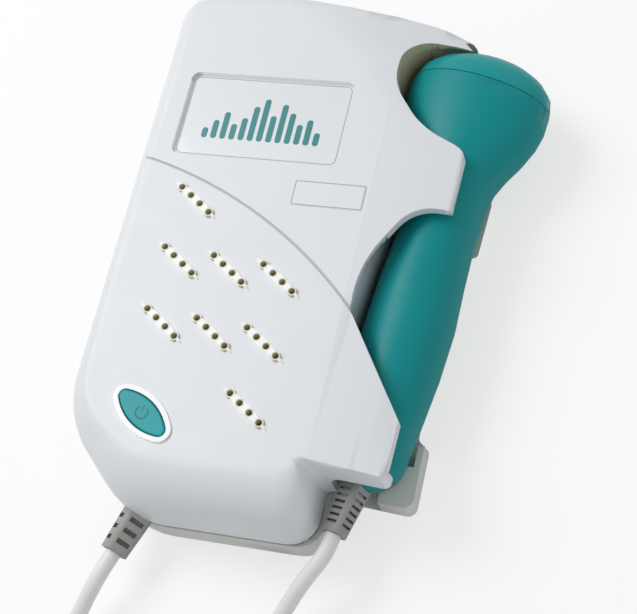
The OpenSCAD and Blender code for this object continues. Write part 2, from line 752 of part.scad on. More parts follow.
module door_roof() {
    intersection() {
        translate([door_x - door_gap - bay_wall, 0, wall / 2])
            cube([
                door_w + 2 * door_gap + 2 * bay_wall, hinge_y + 2 * door_t,
                recess_z + bay_wall - wall / 2
            ]);
        linear_extrude(seam_z) offset(delta = wall / 4) polygon(cavity_outer);
    }
}

rail_h = 3.4;
module rear_shell() {
    color([0.86, 0.88, 0.88]) placed() difference() {
        union() {
            difference() {
                rear_block();
                translate([0, 0, wall]) linear_extrude(seam_z) polygon(cavity_outer);
                cup_space();
                translate([bulge_w + ledge_w, 0, cup_h]) cube([reach_w, foot_y + 2 * foot_r, seam_z]);
                translate([unit_w - cup_wall, foot_y + foot_r, rail_h])
                    cube([reach_w, head_y - foot_y - 2 * foot_r, seam_z]);
            }
            bay_ribs();
            door_roof();
            for (p = screw_places) translate([p[0], p[1], wall / 2])
                cylinder(d = 1.16 * boss_d, h = seam_z - joint_gap - wall / 2, $fn = bore_fn);
        }
        for (p = screw_places) translate([p[0], p[1], -over]) {
            cylinder(d = screw_hole, h = seam_z + 2 * over, $fn = bore_fn);
            cylinder(d = screw_head_d + 2 * screw_head_gap, h = screw_sink + over, $fn = bore_fn);
        }
        translate([door_x - door_gap, -over, -over])
            cube([door_w + 2 * door_gap, hinge_y + over, recess_z + over]);
        translate([door_x - door_gap, hinge_y, hinge_z]) rotate([0, 90, 0])
            cylinder(r = door_t / 2 + door_gap, h = door_w + 2 * door_gap, $fn = bore_fn);
        translate([bay_x, bay_y, -over]) cube([bay_w, bay_l, bay_top + 2 * over]);
        wheel_slot();
        at_unit_tip() cylinder(d = relief_neck_d + 2 * relief_neck_gap, h = 2 * unit_relief_l, $fn = bore_fn);
    }
}

// Battery door: a cover that slides out of the lower edge, with a rounded far edge, the
// round of the back along its near edge and a finger scoop
scoop_r = 14;
scoop_deep = 0.9;
module battery_door() {
    color([0.84, 0.86, 0.86]) placed() difference() {
        union() {
            intersection() {
                rear_block();
                translate([door_x, -over, door_z]) cube([door_w, hinge_y + over, door_t]);
            }
            translate([door_x, hinge_y, hinge_z]) rotate([0, 90, 0])
                cylinder(d = door_t, h = door_w, $fn = bore_fn);
        }
        translate([door_x + door_w / 2, bay_y, door_z - scoop_r])
            sphere(r = scoop_r + scoop_deep, $fn = fine);
    }
}

// Panel glued into the sunk window
module window_panel() {
    color([0.93, 0.94, 0.94]) placed()
        translate([window_x + window_r, window_y + window_r, unit_h - window_deep])
            linear_extrude(panel_t) offset(r = window_r - button_gap, $fn = bore_fn)
                square([window_w - 2 * window_r, window_h - 2 * window_r]);
}

// Power button: a lens cap with a flange that holds it under the front face
module power_button() {
    color([0.16, 0.65, 0.67]) placed() at_button() {
        translate([0, 0, ceiling_z - flange_gap])
            lens(button_l, button_w, wall + flange_gap + button_proud, button_tip_r);
        translate([0, 0, ceiling_z - flange_gap - flange_t])
            lens(button_l + 2 * flange_lap, button_w + 2 * flange_lap, flange_t, button_tip_r + flange_lap);
    }
}

// Tact switch under the power button, on its own small board
switch_w = 6;
plunger_h = 0.6;
module power_switch() {
    color([0.2, 0.2, 0.22]) placed() at_button() translate([0, 0, switch_board_z + board_t]) {
        translate([-switch_w / 2, -switch_w / 2, 0]) cube([switch_w, switch_w, switch_h - plunger_h]);
        translate([0, 0, switch_h - plunger_h]) cylinder(d = switch_w / 2, h = plunger_h, $fn = bore_fn);
    }
}

module switch_board() {
    color([0.1, 0.42, 0.28]) placed() at_button()
        translate([-switch_board_w / 2, -switch_board_l / 2, switch_board_z])
            cube([switch_board_w, switch_board_l, board_t]);
}

// Dust cloth behind the grille
module speaker_cloth() {
    color([0.62, 0.58, 0.45]) placed() translate([speaker_x, speaker_y, speaker_top + seat / 2])
        cylinder(d = speaker_d, h = cloth_t - seat, $fn = fine);
}

// Speaker: pressed frame, paper cone and magnet
basket_t = 0.8;
cone_t = 0.6;
cone_fit = 0.4;
// Inner width of the basket at height z over its floor's underside
function basket_d(z) = let(
    foot_d = 1.19 * magnet_d,
    mouth_d = 0.875 * speaker_d
) foot_d + (mouth_d - foot_d) * (z - basket_t) / (speaker_top - speaker_base);
module speaker_frame() {
    frame_h = speaker_top - speaker_base;
    color([0.35, 0.36, 0.38]) placed() translate([speaker_x, speaker_y, speaker_base]) difference() {
        union() {
            translate([0, 0, frame_h - rim_t]) cylinder(d = speaker_d, h = rim_t, $fn = fine);
            cylinder(d1 = 1.333 * magnet_d, d2 = 0.9 * speaker_d, h = frame_h - rim_t + seat, $fn = fine);
        }
        translate([0, 0, basket_t])
            cylinder(d1 = basket_d(basket_t), d2 = basket_d(frame_h + basket_t), h = frame_h, $fn = fine);
        translate([0, 0, -over]) cylinder(d = 0.667 * magnet_d, h = 3 * over, $fn = bore_fn);
    }
}

module speaker_cone() {
    cone_h = speaker_top - speaker_base - 2 * basket_t;
    cone_z = speaker_base + 1.4 * basket_t;
    cone_d = basket_d(cone_h + 1.4 * basket_t) - 2 * cone_fit;
    color([0.15, 0.15, 0.16]) placed() translate([speaker_x, speaker_y, cone_z]) difference() {
        cylinder(d1 = 1.055 * magnet_d, d2 = cone_d, h = cone_h, $fn = fine);
        translate([0, 0, cone_t]) cylinder(d1 = magnet_d, d2 = 0.975 * cone_d, h = cone_h, $fn = fine);
    }
}

module speaker_magnet() {
    color([0.55, 0.56, 0.58]) placed() translate([speaker_x, speaker_y, speaker_base - magnet_t])
        cylinder(d = magnet_d, h = magnet_t, $fn = fine);
}

// Three AA cells, the outer two the same way up and the middle one turned
function cell_x(k) = bay_x + cell_gap + cell_pitch * (k + 0.5);
nub_d = 5.4;
nub_l = 1.4;
module battery_cells() {
    color([0.25, 0.45, 0.62]) placed() for (k = [0 : cells - 1]) {
        flip = k % 2;
        from_y = bay_y + contact_t + (flip ? cell_l : spring_l);
        translate([cell_x(k), from_y, cell_z]) rotate([flip ? 90 : -90, 0, 0]) {
            cylinder(d = cell_d - cell_gap, h = cell_l - nub_l, $fn = bore_fn);
            translate([0, 0, cell_l - nub_l]) cylinder(d = nub_d, h = nub_l, $fn = bore_fn);
        }
    }
}

// Coil springs that press on the flat ends of the cells
spring_wire = 0.7;
spring_turns = 3;
spring_wide = 0.3 * cell_d;
spring_narrow = 0.165 * cell_d;
module spring(from_y, way, x) {
    rings = [for (k = [0 : 12 * spring_turns])
        let (
            f = 30 * k,
            share = k / (12 * spring_turns),
            r = mix(spring_wide, spring_narrow, share),
            rise = mix(spring_wire / 2 + seat, spring_l - spring_wire / 2 - 2 * seat, share),
            c = [x + r * cos(f), from_y + way * rise, cell_z + r * sin(f)],
            out = [cos(f), 0, sin(f)]
        )
        [for (j = [0 : 4]) c + spring_wire / 2 * (cos(72 * j) * out + sin(72 * j) * [0, 1, 0])]];
    skin(rings);
}
module battery_springs() {
    color([0.8, 0.8, 0.78]) placed() for (k = [0 : cells - 1]) {
        flip = k % 2;
        spring(flip ? bay_y + bay_l - contact_t : bay_y + contact_t, flip ? -1 : 1, cell_x(k));
    }
}

module battery_contacts() {
    contact_w = 0.76 * cell_d;
    color([0.78, 0.78, 0.75]) placed() for (k = [0 : cells - 1]) for (y = [bay_y, bay_y + bay_l - contact_t])
        translate([cell_x(k) - contact_w / 2, y, cell_z - contact_w / 2])
            cube([contact_w, contact_t, contact_w]);
}

// Main circuit board, screwed to the posts of the front shell
module main_board() {
    color([0.1, 0.42, 0.28]) placed() difference() {
        translate([board_x, board_y, board_z]) cube([board_w, board_l, board_t]);
        for (p = board_posts) translate([p[0], p[1], board_z - over])
            cylinder(d = small_screw_d + 2 * small_screw_gap, h = board_t + 2 * over, $fn = bore_fn);
    }
}

chip_sizes = [[12, 12, 1.4], [10, 6, 1.6], [8, 6, 1.6], [9, 5, 1.8], [6, 6, 1.2]];
chip_shares = [[0.42, 0.46], [0.72, 0.28], [0.76, 0.62], [0.28, 0.24], [0.16, 0.6]];
module board_chips() {
    color([0.13, 0.13, 0.14]) placed() for (k = [0 : len(chip_sizes) - 1])
        translate([board_x + chip_shares[k][0] * board_w - chip_sizes[k][0] / 2,
                   board_y + chip_shares[k][1] * board_l - chip_sizes[k][1] / 2, board_z + board_t])
            cube(chip_sizes[k]);
}

can_shares = [[0.55, 0.75], [0.62, 0.88], [0.88, 0.44]];
can_d = 5;
module capacitors() {
    color([0.3, 0.32, 0.5]) placed() for (p = can_shares)
        translate([board_x + p[0] * board_w, board_y + p[1] * board_l, board_z + board_t])
            cylinder(d = can_d, h = can_d, $fn = bore_fn);
}

// Thumb wheel for the sound level and the potentiometer that it turns
shaft_d = 3;
shaft_fit = 0.1;
knurl_d = 1.4;
module volume_wheel() {
    color([0.55, 0.57, 0.58]) placed() translate([wheel_x, wheel_y, wheel_z]) difference() {
        cylinder(d = wheel_d, h = wheel_t, $fn = fine);
        for (k = [0 : 23]) rotate([0, 0, 15 * k]) translate([wheel_d / 2 + knurl_d / 4, 0, -over])
            cylinder(d = knurl_d, h = wheel_t + 2 * over, $fn = 16);
        translate([0, 0, -over]) cylinder(d = shaft_d + shaft_fit, h = wheel_t + 2 * over, $fn = bore_fn);
    }
}

pot_w = 8.4;
module volume_pot() {
    pot_z = wheel_z + wheel_t + 2 * shaft_fit;
    color([0.4, 0.36, 0.3]) placed() translate([wheel_x, wheel_y, 0]) {
        translate([-pot_w / 2, -pot_w / 2, pot_z]) cube([pot_w, pot_w, board_z - pot_z]);
        translate([0, 0, wheel_z + 3 * shaft_fit]) cylinder(d = shaft_d, h = wheel_t, $fn = bore_fn);
    }
}

// Earphone socket under the main board, with its mouth in the left wall
module earphone_socket() {
    body_w = jack_d + 0.8 * over;
    color([0.18, 0.18, 0.2]) placed() difference() {
        union() {
            translate([seat, jack_y, jack_z]) rotate([0, 90, 0])
                cylinder(d = jack_d, h = jack_l, $fn = bore_fn);
            translate([board_x + jack_fit, jack_y - body_w / 2, jack_z - jack_d / 2])
                cube([0.7 * jack_l, body_w, board_z - jack_z + jack_d / 2]);
        }
        translate([-over, jack_y, jack_z]) rotate([0, 90, 0])
            cylinder(d = jack_bore, h = jack_l - over, $fn = bore_fn);
    }
}

module housing_screws() {
    head_z = screw_sink - screw_head_t;
    color([0.7, 0.71, 0.73]) placed() for (p = screw_places) translate([p[0], p[1], head_z]) {
        cylinder(d = screw_head_d, h = screw_head_t, $fn = bore_fn);
        cylinder(d = screw_d, h = seam_z + screw_deep - screw_tip_gap - head_z, $fn = bore_fn);
    }
}

module board_screws() {
    color([0.7, 0.71, 0.73]) placed() for (p = board_posts) translate([p[0], p[1], board_z - small_head_t]) {
        cylinder(d = small_head_d, h = small_head_t, $fn = bore_fn);
        cylinder(d = small_screw_d, h = small_head_t + board_t + small_bite, $fn = bore_fn);
    }
}

// Moulded rubber strain relief: a tapered square sleeve with a lip round the lead and rows
// of slots on its four sides, a neck through the housing wall and a flange behind it
lip_h = 0.8;
slot_deep = 0.8;
function relief_w(z, l, tip_w, base_w) = mix(tip_w, base_w, z / l);
module relief_ring(w, z) {
    translate([0, 0, z]) linear_extrude(seat) offset(r = 0.28 * w, $fn = bore_fn)
        square(0.44 * w, center = true);
}
module relief(l, reach, tip_w, base_w, rows, turn) {
    pitch = 0.66 * reach / (rows - 1);
    rotate([0, 0, turn]) difference() {
        hull() {
            relief_ring(0.86 * tip_w, lead_fit);
            relief_ring(tip_w, lip_h);
            relief_ring(base_w, l - seat);
        }
        for (k = [0 : rows - 1]) for (q = [0 : 3]) rotate([0, 0, 90 * q]) {
            z = 0.2 * reach + k * pitch;
            w = relief_w(z, l, tip_w, base_w);
            translate([w / 2 - slot_deep, -0.27 * w, z - 0.23 * pitch]) cube([w, 0.54 * w, 0.46 * pitch]);
        }
    }
}

unit_relief_tip = 6.2;
unit_relief_base = 7.6;
module unit_strain_relief() {
    inset = unit_relief_l + 1.41 * wall;
    color([0.6, 0.61, 0.6]) placed() {
        difference() {
            at_unit_tip()
                relief(1.3 * unit_relief_l, unit_relief_l, unit_relief_tip, unit_relief_base, 4, 40);
            linear_extrude(unit_h) offset(delta = seat) polygon(rear_outer);
        }
        at_unit_tip() translate([0, 0, 0.7 * unit_relief_l])
            cylinder(d = relief_neck_d, h = inset - 0.7 * unit_relief_l + seat, $fn = bore_fn);
        at_unit_tip() translate([0, 0, inset])
            cylinder(d = relief_flange_d, h = relief_flange_t, $fn = bore_fn);
    }
}

// Halves of the probe housing, split in the middle plane, and hollow
probe_split = 0.05;
last = stations - 1;
module joint_disc(inset) {
    scale([1, half_t(last) / half_w(last)]) circle(r = half_w(last) - inset, $fn = fine);
}
module probe_half(side) {
    difference() {
        intersection() {
            skin(body_rings(0));
            translate([0, 0, side > 0 ? probe_z + probe_split : probe_z - probe_split - unit_h])
                cube([2 * reach_w, unit_l, unit_h]);
        }
        intersection() {
            skin(body_rings(probe_wall));
            translate([0, 0, -unit_h]) cube([2 * reach_w, head_y - 3 * probe_wall, 3 * unit_h]);
        }
        at_head() translate([0, 0, -4 * probe_wall]) linear_extrude(6 * probe_wall)
            joint_disc(2.2 * probe_wall);
        at_probe_tip() translate([0, 0, probe_relief_l - 2 * over])
            cylinder(d = relief_neck_d + 2 * relief_neck_gap, h = 2 * over + probe_flange_in, $fn = bore_fn);
    }
}

module probe_front_shell() {
    color([0.0, 0.57, 0.58]) placed() probe_half(1);
}

module probe_rear_shell() {
    color([0.0, 0.53, 0.54]) placed() union() {
        probe_half(-1);
        at_probe_board() for (side = [-1, 1])
            translate([0, side * 0.39 * probe_board_l, probe_wall / 2 - handle_t / 2])
                cylinder(d = post_d, h = (handle_t - board_t - probe_wall) / 2, $fn = bore_fn);
    }
}

// Domed face cap that is held to the skin
cap_gap = 0.2;
module probe_face_cap() {
    color([0.05, 0.6, 0.61]) placed() difference() {
        skin(cap_rings(0, cap_gap));
        skin(cap_rings(probe_wall, cap_gap - seat));
        at_head() translate([0, 0, -over]) linear_extrude(over + cap_gap + seat) joint_disc(probe_wall);
    }
}

// Round crystals on a carrier plate under the cap, with a damping block behind them
crystal_d = 7.4;
crystal_t = 1;
crystal_gap = 0.5;
carrier_t = 1.6;
carrier_gap = 0.2;
backing_t = 4;
module crystal_carrier() {
    color([0.85, 0.82, 0.7]) placed() at_head() translate([0, 0, -carrier_t]) linear_extrude(carrier_t)
        joint_disc(2.2 * probe_wall + carrier_gap);
}

module probe_crystals() {
    color([0.85, 0.72, 0.4]) placed() at_head() for (col = [-1 : 1]) for (side = [-1, 1])
        translate([col * (crystal_d + 2 * crystal_gap), side * (crystal_d / 2 + crystal_gap / 2), 0])
            cylinder(d = crystal_d, h = crystal_t, $fn = bore_fn);
}

module acoustic_backing() {
    color([0.3, 0.3, 0.32]) placed() at_head() translate([0, 0, -carrier_t - backing_t])
        linear_extrude(backing_t) scale([1, 0.52]) circle(r = half_w(last) - 3.4 * probe_wall, $fn = fine);
}

// Amplifier board in the handle, held between the two shells
probe_board_w = 13;
probe_board_l = 46;
module at_probe_board() {
    translate([station_x(3), station_y(3), probe_z]) rotate([0, 0, -4]) children();
}
module probe_board() {
    color([0.1, 0.42, 0.28]) placed() at_probe_board()
        translate([-probe_board_w / 2, -probe_board_l / 2, -board_t / 2])
            cube([probe_board_w, probe_board_l, board_t]);
}

probe_relief_tip = 5.2;
probe_relief_base = 6.6;
probe_flange_in = 0.36 * foot_r;
probe_flange_d = 7.6;
module probe_strain_relief() {
    reach = 1.05 * probe_relief_l;
    neck_from = 0.75 * probe_relief_l;
    color([0.6, 0.61, 0.6]) placed() {
        difference() {
            at_probe_tip() relief(1.17 * probe_relief_l, reach, probe_relief_tip, probe_relief_base, 6, -23);
            translate([foot_x, foot_y, probe_tip[2]]) sphere(r = foot_r + seat, $fn = fine);
        }
        at_probe_tip() translate([0, 0, neck_from])
            cylinder(
                d = relief_neck_d, h = probe_relief_l - neck_from + probe_flange_in + 2 * seat,
                $fn = bore_fn);
        at_probe_tip() translate([0, 0, probe_relief_l + probe_flange_in])
            cylinder(d = probe_flange_d, h = relief_flange_t, $fn = bore_fn);
    }
}

// Tube swept along points, with rings square to the path
function path_aim(p, k) = unit(p[min(k + 1, len(p) - 1)] - p[max(k - 1, 0)]);
function tube_ring(c, aim, d, n, start) =
    let (
        across = unit(cross([0, 0, 1], aim)),
        up = cross(aim, across)
    )
    [for (j = [0 : n - 1])
        let (f = start + 360 * j / n)
        c + d / 2 * (cos(f) * across + sin(f) * up)];
module tube(path, d, n, start) {
    skin([for (k = [0 : len(path) - 1]) tube_ring(path[k], path_aim(path, k), d, n, start)]);
}

module unit_lead() {
    color([0.9, 0.9, 0.9]) tube(unit_route, lead_d, lead_sides, 0);
}

module probe_lead() {
    color([0.9, 0.9, 0.9]) tube(probe_route, lead_d, lead_sides, 0);
}

// Coil of the stored lead: it spirals in on the table, climbs in the half turn where the
// spiral turns back, and spirals out on the layer above
function coil_point(t) =
    let (
        inward = min(t, layer_turns),
        climb = max(0, min(t - layer_turns, 0.5)),
        outward = max(0, t - layer_turns - 0.5),
        r = coil_r - turn_pitch * (inward - outward) - turn_pitch / 4 * sin(360 * climb),
        f = 180 + 360 * t
    )
    [coil_center[0] + r * cos(f), coil_center[1] + r * sin(f), coil_z + turn_pitch * 2 * climb];
coil_turns = 2 * layer_turns + 0.5;
coil_count = round(coil_turns * coil_steps);
coil_path = concat(
    [[coil_center[0] - coil_r, coil_center[1] + lead_d, coil_z]],
    [for (k = [0 : coil_count]) coil_point(k / coil_steps)],
    [[coil_center[0] + coil_r, coil_center[1] + lead_d, coil_z + turn_pitch]]);

module lead_coil() {
    color([0.9, 0.9, 0.9]) tube(coil_path, lead_d, coil_sides, 0);
}

// Least gap between turns of the coil, measured on its points
function segment_gap(p, q) = norm(p - q) - lead_d;
coil_gap = min([for (i = [0 : 2 : coil_count]) for (j = [i + coil_steps / 2 : coil_count])
    segment_gap(coil_point(i / coil_steps), coil_point(j / coil_steps))]);
function steps_of(p) = [for (k = [0 : len(p) - 2]) norm(p[k + 1] - p[k])];
function path_length(p) = steps_of(p) * [for (k = steps_of(p)) 1];
echo(coil_gap = coil_gap);
echo(lead_length = path_length(unit_route) + path_length(coil_path) + path_length(probe_route));

front_shell();
rear_shell();
battery_door();
window_panel();
power_button();
power_switch();
switch_board();
speaker_cloth();
speaker_frame();
speaker_cone();
speaker_magnet();
battery_cells();
battery_springs();
battery_contacts();
main_board();
board_chips();
capacitors();
volume_wheel();
volume_pot();
earphone_socket();
housing_screws();
board_screws();
unit_strain_relief();
probe_front_shell();
probe_rear_shell();
probe_face_cap();
crystal_carrier();
probe_crystals();
acoustic_backing();
probe_board();
probe_strain_relief();
unit_lead();
lead_coil();
probe_lead();
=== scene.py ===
"""Pocket fetal doppler with its probe docked in the side holder.

The solids of the part give every size and place. This script dresses them in the finishes of
the real product, replaces the soft pieces by finished ones, adds the printed and trimmed
details, and sets up a plain studio with a camera at the photograph's viewing angle. All
lengths are in metres in the part's own frame: X to the probe side, Y to the window end, Z out
of the front face.
"""

import json
import logging
import math
from dataclasses import dataclass, field
from enum import Enum
from typing import Any, Callable

import bmesh
import bpy
from mathutils import Matrix, Vector

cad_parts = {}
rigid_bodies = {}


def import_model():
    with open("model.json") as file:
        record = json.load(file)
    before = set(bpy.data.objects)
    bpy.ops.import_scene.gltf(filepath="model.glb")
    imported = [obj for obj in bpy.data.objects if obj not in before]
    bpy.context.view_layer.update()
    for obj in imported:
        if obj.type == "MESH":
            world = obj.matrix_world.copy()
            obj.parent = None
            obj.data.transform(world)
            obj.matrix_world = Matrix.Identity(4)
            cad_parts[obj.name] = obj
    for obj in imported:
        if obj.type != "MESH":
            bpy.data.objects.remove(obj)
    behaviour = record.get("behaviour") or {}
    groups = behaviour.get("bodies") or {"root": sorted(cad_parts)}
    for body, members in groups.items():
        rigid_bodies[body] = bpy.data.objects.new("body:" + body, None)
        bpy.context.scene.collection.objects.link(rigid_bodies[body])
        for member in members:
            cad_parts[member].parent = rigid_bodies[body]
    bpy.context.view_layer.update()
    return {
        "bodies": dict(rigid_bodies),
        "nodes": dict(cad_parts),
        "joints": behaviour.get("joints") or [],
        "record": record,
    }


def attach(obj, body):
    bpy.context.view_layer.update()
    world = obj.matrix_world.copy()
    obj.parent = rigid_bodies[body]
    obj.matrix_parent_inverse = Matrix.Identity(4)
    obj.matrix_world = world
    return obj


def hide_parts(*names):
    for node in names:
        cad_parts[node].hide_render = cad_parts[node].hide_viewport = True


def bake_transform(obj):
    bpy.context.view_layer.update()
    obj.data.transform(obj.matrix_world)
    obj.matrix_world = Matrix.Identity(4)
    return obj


LOG = logging.getLogger("doppler")

MM = 0.001
Point = tuple[float, float, float]

# Past any place on the part in metres, and past any share of a direction
FAR = 2.0
# Widths of the soft clouds in which the gloss and the colour of a surface drift
GLOSS_CLOUD = 9.0 * MM
COLOUR_CLOUD = 26.0 * MM
# Stretch of a noise texture's output that is spread over the whole drift of the gloss
NOISE_STRETCH = (0.3, 0.7)
COAT_ROUGHNESS = 0.05
# Scale at which a wave texture has one band a metre
WAVE_SCALE = 0.314
# A wall is steep while its normal rises less than this
STEEP = 0.6
# A face is level when its normal is as upright as the first, and nearly so past the second
LEVEL = 0.9999
NEARLY_LEVEL = 0.85
# A face looks along an axis when its normal has more than this share of it
FACING = 0.9
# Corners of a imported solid's triangles that lie closer than this are one point
MERGE = 0.002 * MM
# Thickness of a printed outline, half of it sunk in the face under it
OUTLINE_FILM = 0.06 * MM

# Half the width over the docked probe and half the unit's length. The part's frame starts at
# their middle, and the solids are drawn from the unit's lower left corner.
HALF_REACH = 103.219 * MM / 2
HALF_LENGTH = 145.7018 * MM / 2


class Body(Enum):
    """Rigid bodies of the part that pieces ride on."""

    UNIT = "main_unit"
    PROBE = "probe"
    BUTTON = "power_button"
    WHEEL = "volume_wheel"
    DOOR = "battery_door"


def on_unit(x: float, y: float, z: float) -> Vector:
    """Turns a place in millimetres from the unit's lower left corner into the part's frame.

    Args:
        x: Distance from the left side, in millimetres.
        y: Distance from the lower edge, in millimetres.
        z: Height over the table, in millimetres.

    Returns:
        The point in metres.
    """
    return Vector((x * MM - HALF_REACH, y * MM - HALF_LENGTH, z * MM))


def linear(code: str) -> tuple[float, float, float, float]:
    """Turns an sRGB hex colour into the linear one that shaders take.

    Args:
        code: Six hex digits, with or without a leading hash.

    Returns:
        Linear red, green, blue and an alpha of one.
    """
    digits = code.lstrip("#")
    channels = [int(digits[i : i + 2], 16) / 255 for i in (0, 2, 4)]
    values = [c / 12.92 if c <= 0.04045 else ((c + 0.055) / 1.055) ** 2.4 for c in channels]
    return (values[0], values[1], values[2], 1.0)


def add_node(tree: Any, kind: str, settings: dict[Any, Any], links: dict[Any, Any]) -> Any:
    """Adds a shader node, sets its values and links its inputs.

    Args:
        tree: The node tree that takes the node.
        kind: Blender's name of the node type.
        settings: Attributes by name, or input values by socket name or number with a leading
            "in:" for names.
        links: Output sockets by the input's name or number.

    Returns:
        The new node.
    """
    node = tree.nodes.new(kind)
    for key, value in settings.items():
        if isinstance(key, int):
            node.inputs[key].default_value = value
        elif key.startswith("in:"):
            node.inputs[key[3:]].default_value = value
        else:
            setattr(node, key, value)
    for key, socket in links.items():
        tree.links.new(socket, node.inputs[key])
    return node


@dataclass(frozen=True)
class Finish:
    """A surface finish: a base colour with fine mottling, and a moulded or woven relief.

    Attributes:
        name: The material's name, for what it is and how its surface was made.
        colour: Main colour, as sRGB hex.
        tint: Second colour that the mottling drifts to, as sRGB hex.
        roughness: Mean roughness.
        spread: How far the roughness drifts to each side.
        grain_mm: Size of one grain of the relief.
        relief_mm: Height of the relief.
        coat: Weight of a clear gloss layer.
        metallic: One for a bare metal.
        edge_mm: Radius that catches the light along crisp edges.
        ior: Index of refraction.
        specular: Strength of the plain mirror gloss, half for a full one.
    """

    name: str
    colour: str
    tint: str
    roughness: float = 0.4
    spread: float = 0.05
    grain_mm: float = 0.5
    relief_mm: float = 0.01
    coat: float = 0.0
    metallic: float = 0.0
    edge_mm: float = 0.0
    ior: float = 1.5
    specular: float = 0.5

    def build(self) -> Any:
        """Makes the material.

        Returns:
            The new material.
        """
        material = bpy.data.materials.new(self.name)
        material.use_nodes = True
        tree = material.node_tree
        tree.nodes.clear()
        place = add_node(tree, "ShaderNodeTexCoord", {}, {}).outputs["Object"]
        colour = self.paint(tree, place)
        cloud = add_node(
            tree,
            "ShaderNodeTexNoise",
            {"in:Scale": 1 / GLOSS_CLOUD, "in:Detail": 3.0},
            {"Vector": place},
        )
        gloss = add_node(
            tree,
            "ShaderNodeMapRange",
            {
                "in:From Min": NOISE_STRETCH[0],
                "in:From Max": NOISE_STRETCH[1],
                "in:To Min": max(0.02, self.roughness - self.spread),
                "in:To Max": min(1.0, self.roughness + self.spread),
            },
            {"Value": cloud.outputs["Fac"]},
        )
        normal = self.relief(tree, place)
        settings = {
            "in:Metallic": self.metallic,
            "in:Coat Weight": self.coat,
            "in:Coat Roughness": COAT_ROUGHNESS,
        }
        if not self.metallic:
            settings["in:IOR"] = self.ior
            settings["in:Specular IOR Level"] = self.specular
        shader = add_node(
            tree,
            "ShaderNodeBsdfPrincipled",
            settings,
            {"Base Color": colour, "Roughness": gloss.outputs["Result"], "Normal": normal},
        )
        add_node(tree, "ShaderNodeOutputMaterial", {}, {"Surface": shader.outputs["BSDF"]})
        return material

    def paint(self, tree: Any, place: Any) -> Any:
        """Mixes the two colours in soft clouds a few centimetres wide.

        Args:
            tree: The node tree.
            place: The Object coordinates.

        Returns:
            The colour socket.
        """
        cloud = add_node(
            tree,
            "ShaderNodeTexNoise",
            {"in:Scale": 1 / COLOUR_CLOUD, "in:Detail": 2.0},
            {"Vector": place},
        )
        mix = add_node(
            tree,
            "ShaderNodeMix",
            {"data_type": "RGBA", 6: linear(self.colour), 7: linear(self.tint)},
            {"Factor": cloud.outputs["Fac"]},
        )
        return mix.outputs[2]

    def relief(self, tree: Any, place: Any) -> Any:
        """Bumps the surface with its grain, over a rounded edge where the finish has one.

        Args:
            tree: The node tree.
            place: The Object coordinates.

        Returns:
            The normal socket.
        """
        grain = add_node(
            tree,
            "ShaderNodeTexNoise",
            {"in:Scale": 1 / (self.grain_mm * MM), "in:Detail": 1.0},
            {"Vector": place},
        )
        links = {"Height": grain.outputs["Fac"]}
        if self.edge_mm:
            edge = add_node(
                tree, "ShaderNodeBevel", {"samples": 6, "in:Radius": self.edge_mm * MM}, {}
            )
            links["Normal"] = edge.outputs["Normal"]
        bump = add_node(
            tree,
            "ShaderNodeBump",
            {"in:Strength": 1.0, "in:Distance": self.relief_mm * MM},
            links,
        )
        return bump.outputs["Normal"]


def between(tree: Any, value: Any, low: float, high: float) -> Any:
    """Finds where a value lies between two bounds.

    Args:
        tree: The node tree.
        value: The value's socket.
        low: The lower bound.
        high: The upper bound.

    Returns:
        The mask socket, one between the bounds and nought elsewhere.
    """
    stretch = {"operation": "COMPARE", 1: (low + high) / 2, 2: (high - low) / 2}
    return add_node(tree, "ShaderNodeMath", stretch, {0: value}).outputs[0]


def all_of(tree: Any, masks: tuple[Any, ...]) -> Any:
    """Finds where every mask holds.

    Args:
        tree: The node tree.
        masks: The mask sockets.

    Returns:
        The mask socket.
    """
    whole = masks[0]
    for mask in masks[1:]:
        product = {"operation": "MULTIPLY"}
        whole = add_node(tree, "ShaderNodeMath", product, {0: whole, 1: mask}).outputs[0]
    return whole


def overlaid(tree: Any, under: Any, coats: tuple[tuple[Any, str], ...]) -> Any:
    """Lays flat colours over a colour, each where its mask holds.

    Args:
        tree: The node tree.
        under: The colour socket underneath.
        coats: Mask socket and sRGB hex colour of each coat, from the lowest up.

    Returns:
        The colour socket.
    """
    for mask, colour in coats:
        coat = {"data_type": "RGBA", 7: linear(colour)}
        under = add_node(tree, "ShaderNodeMix", coat, {0: mask, 6: under}).outputs[2]
    return under


@dataclass(frozen=True)
class JointedPlastic(Finish):
    """Moulded plastic with a thin joint line round its upright walls.

    Attributes:
        joint: Colour of the joint line, as sRGB hex: a dark joint on the white shells, and a pale
            painted highlight along the probe's seam.
        joint_z: Lowest and highest height of the line in millimetres.
    """

    joint: str = "73776F"
    joint_z: tuple[float, float] = (9.6, 10.75)

    def paint(self, tree: Any, place: Any) -> Any:
        """Paints the joint line on walls at its height.

        Args:
            tree: The node tree.
            place: The Object coordinates.

        Returns:
            The colour socket.
        """
        body = super().paint(tree, place)
        height = add_node(tree, "ShaderNodeSeparateXYZ", {}, {0: place}).outputs["Z"]
        coords = add_node(tree, "ShaderNodeTexCoord", {}, {})
        facing = add_node(tree, "ShaderNodeSeparateXYZ", {}, {0: coords.outputs["Normal"]}).outputs
        line = all_of(tree, (
            between(tree, height, self.joint_z[0] * MM, self.joint_z[1] * MM),
            between(tree, facing["Z"], -STEEP, STEEP),
        ))
        # On the probe the line is a painted highlight along the seam
        return overlaid(tree, body, ((line, self.joint),))


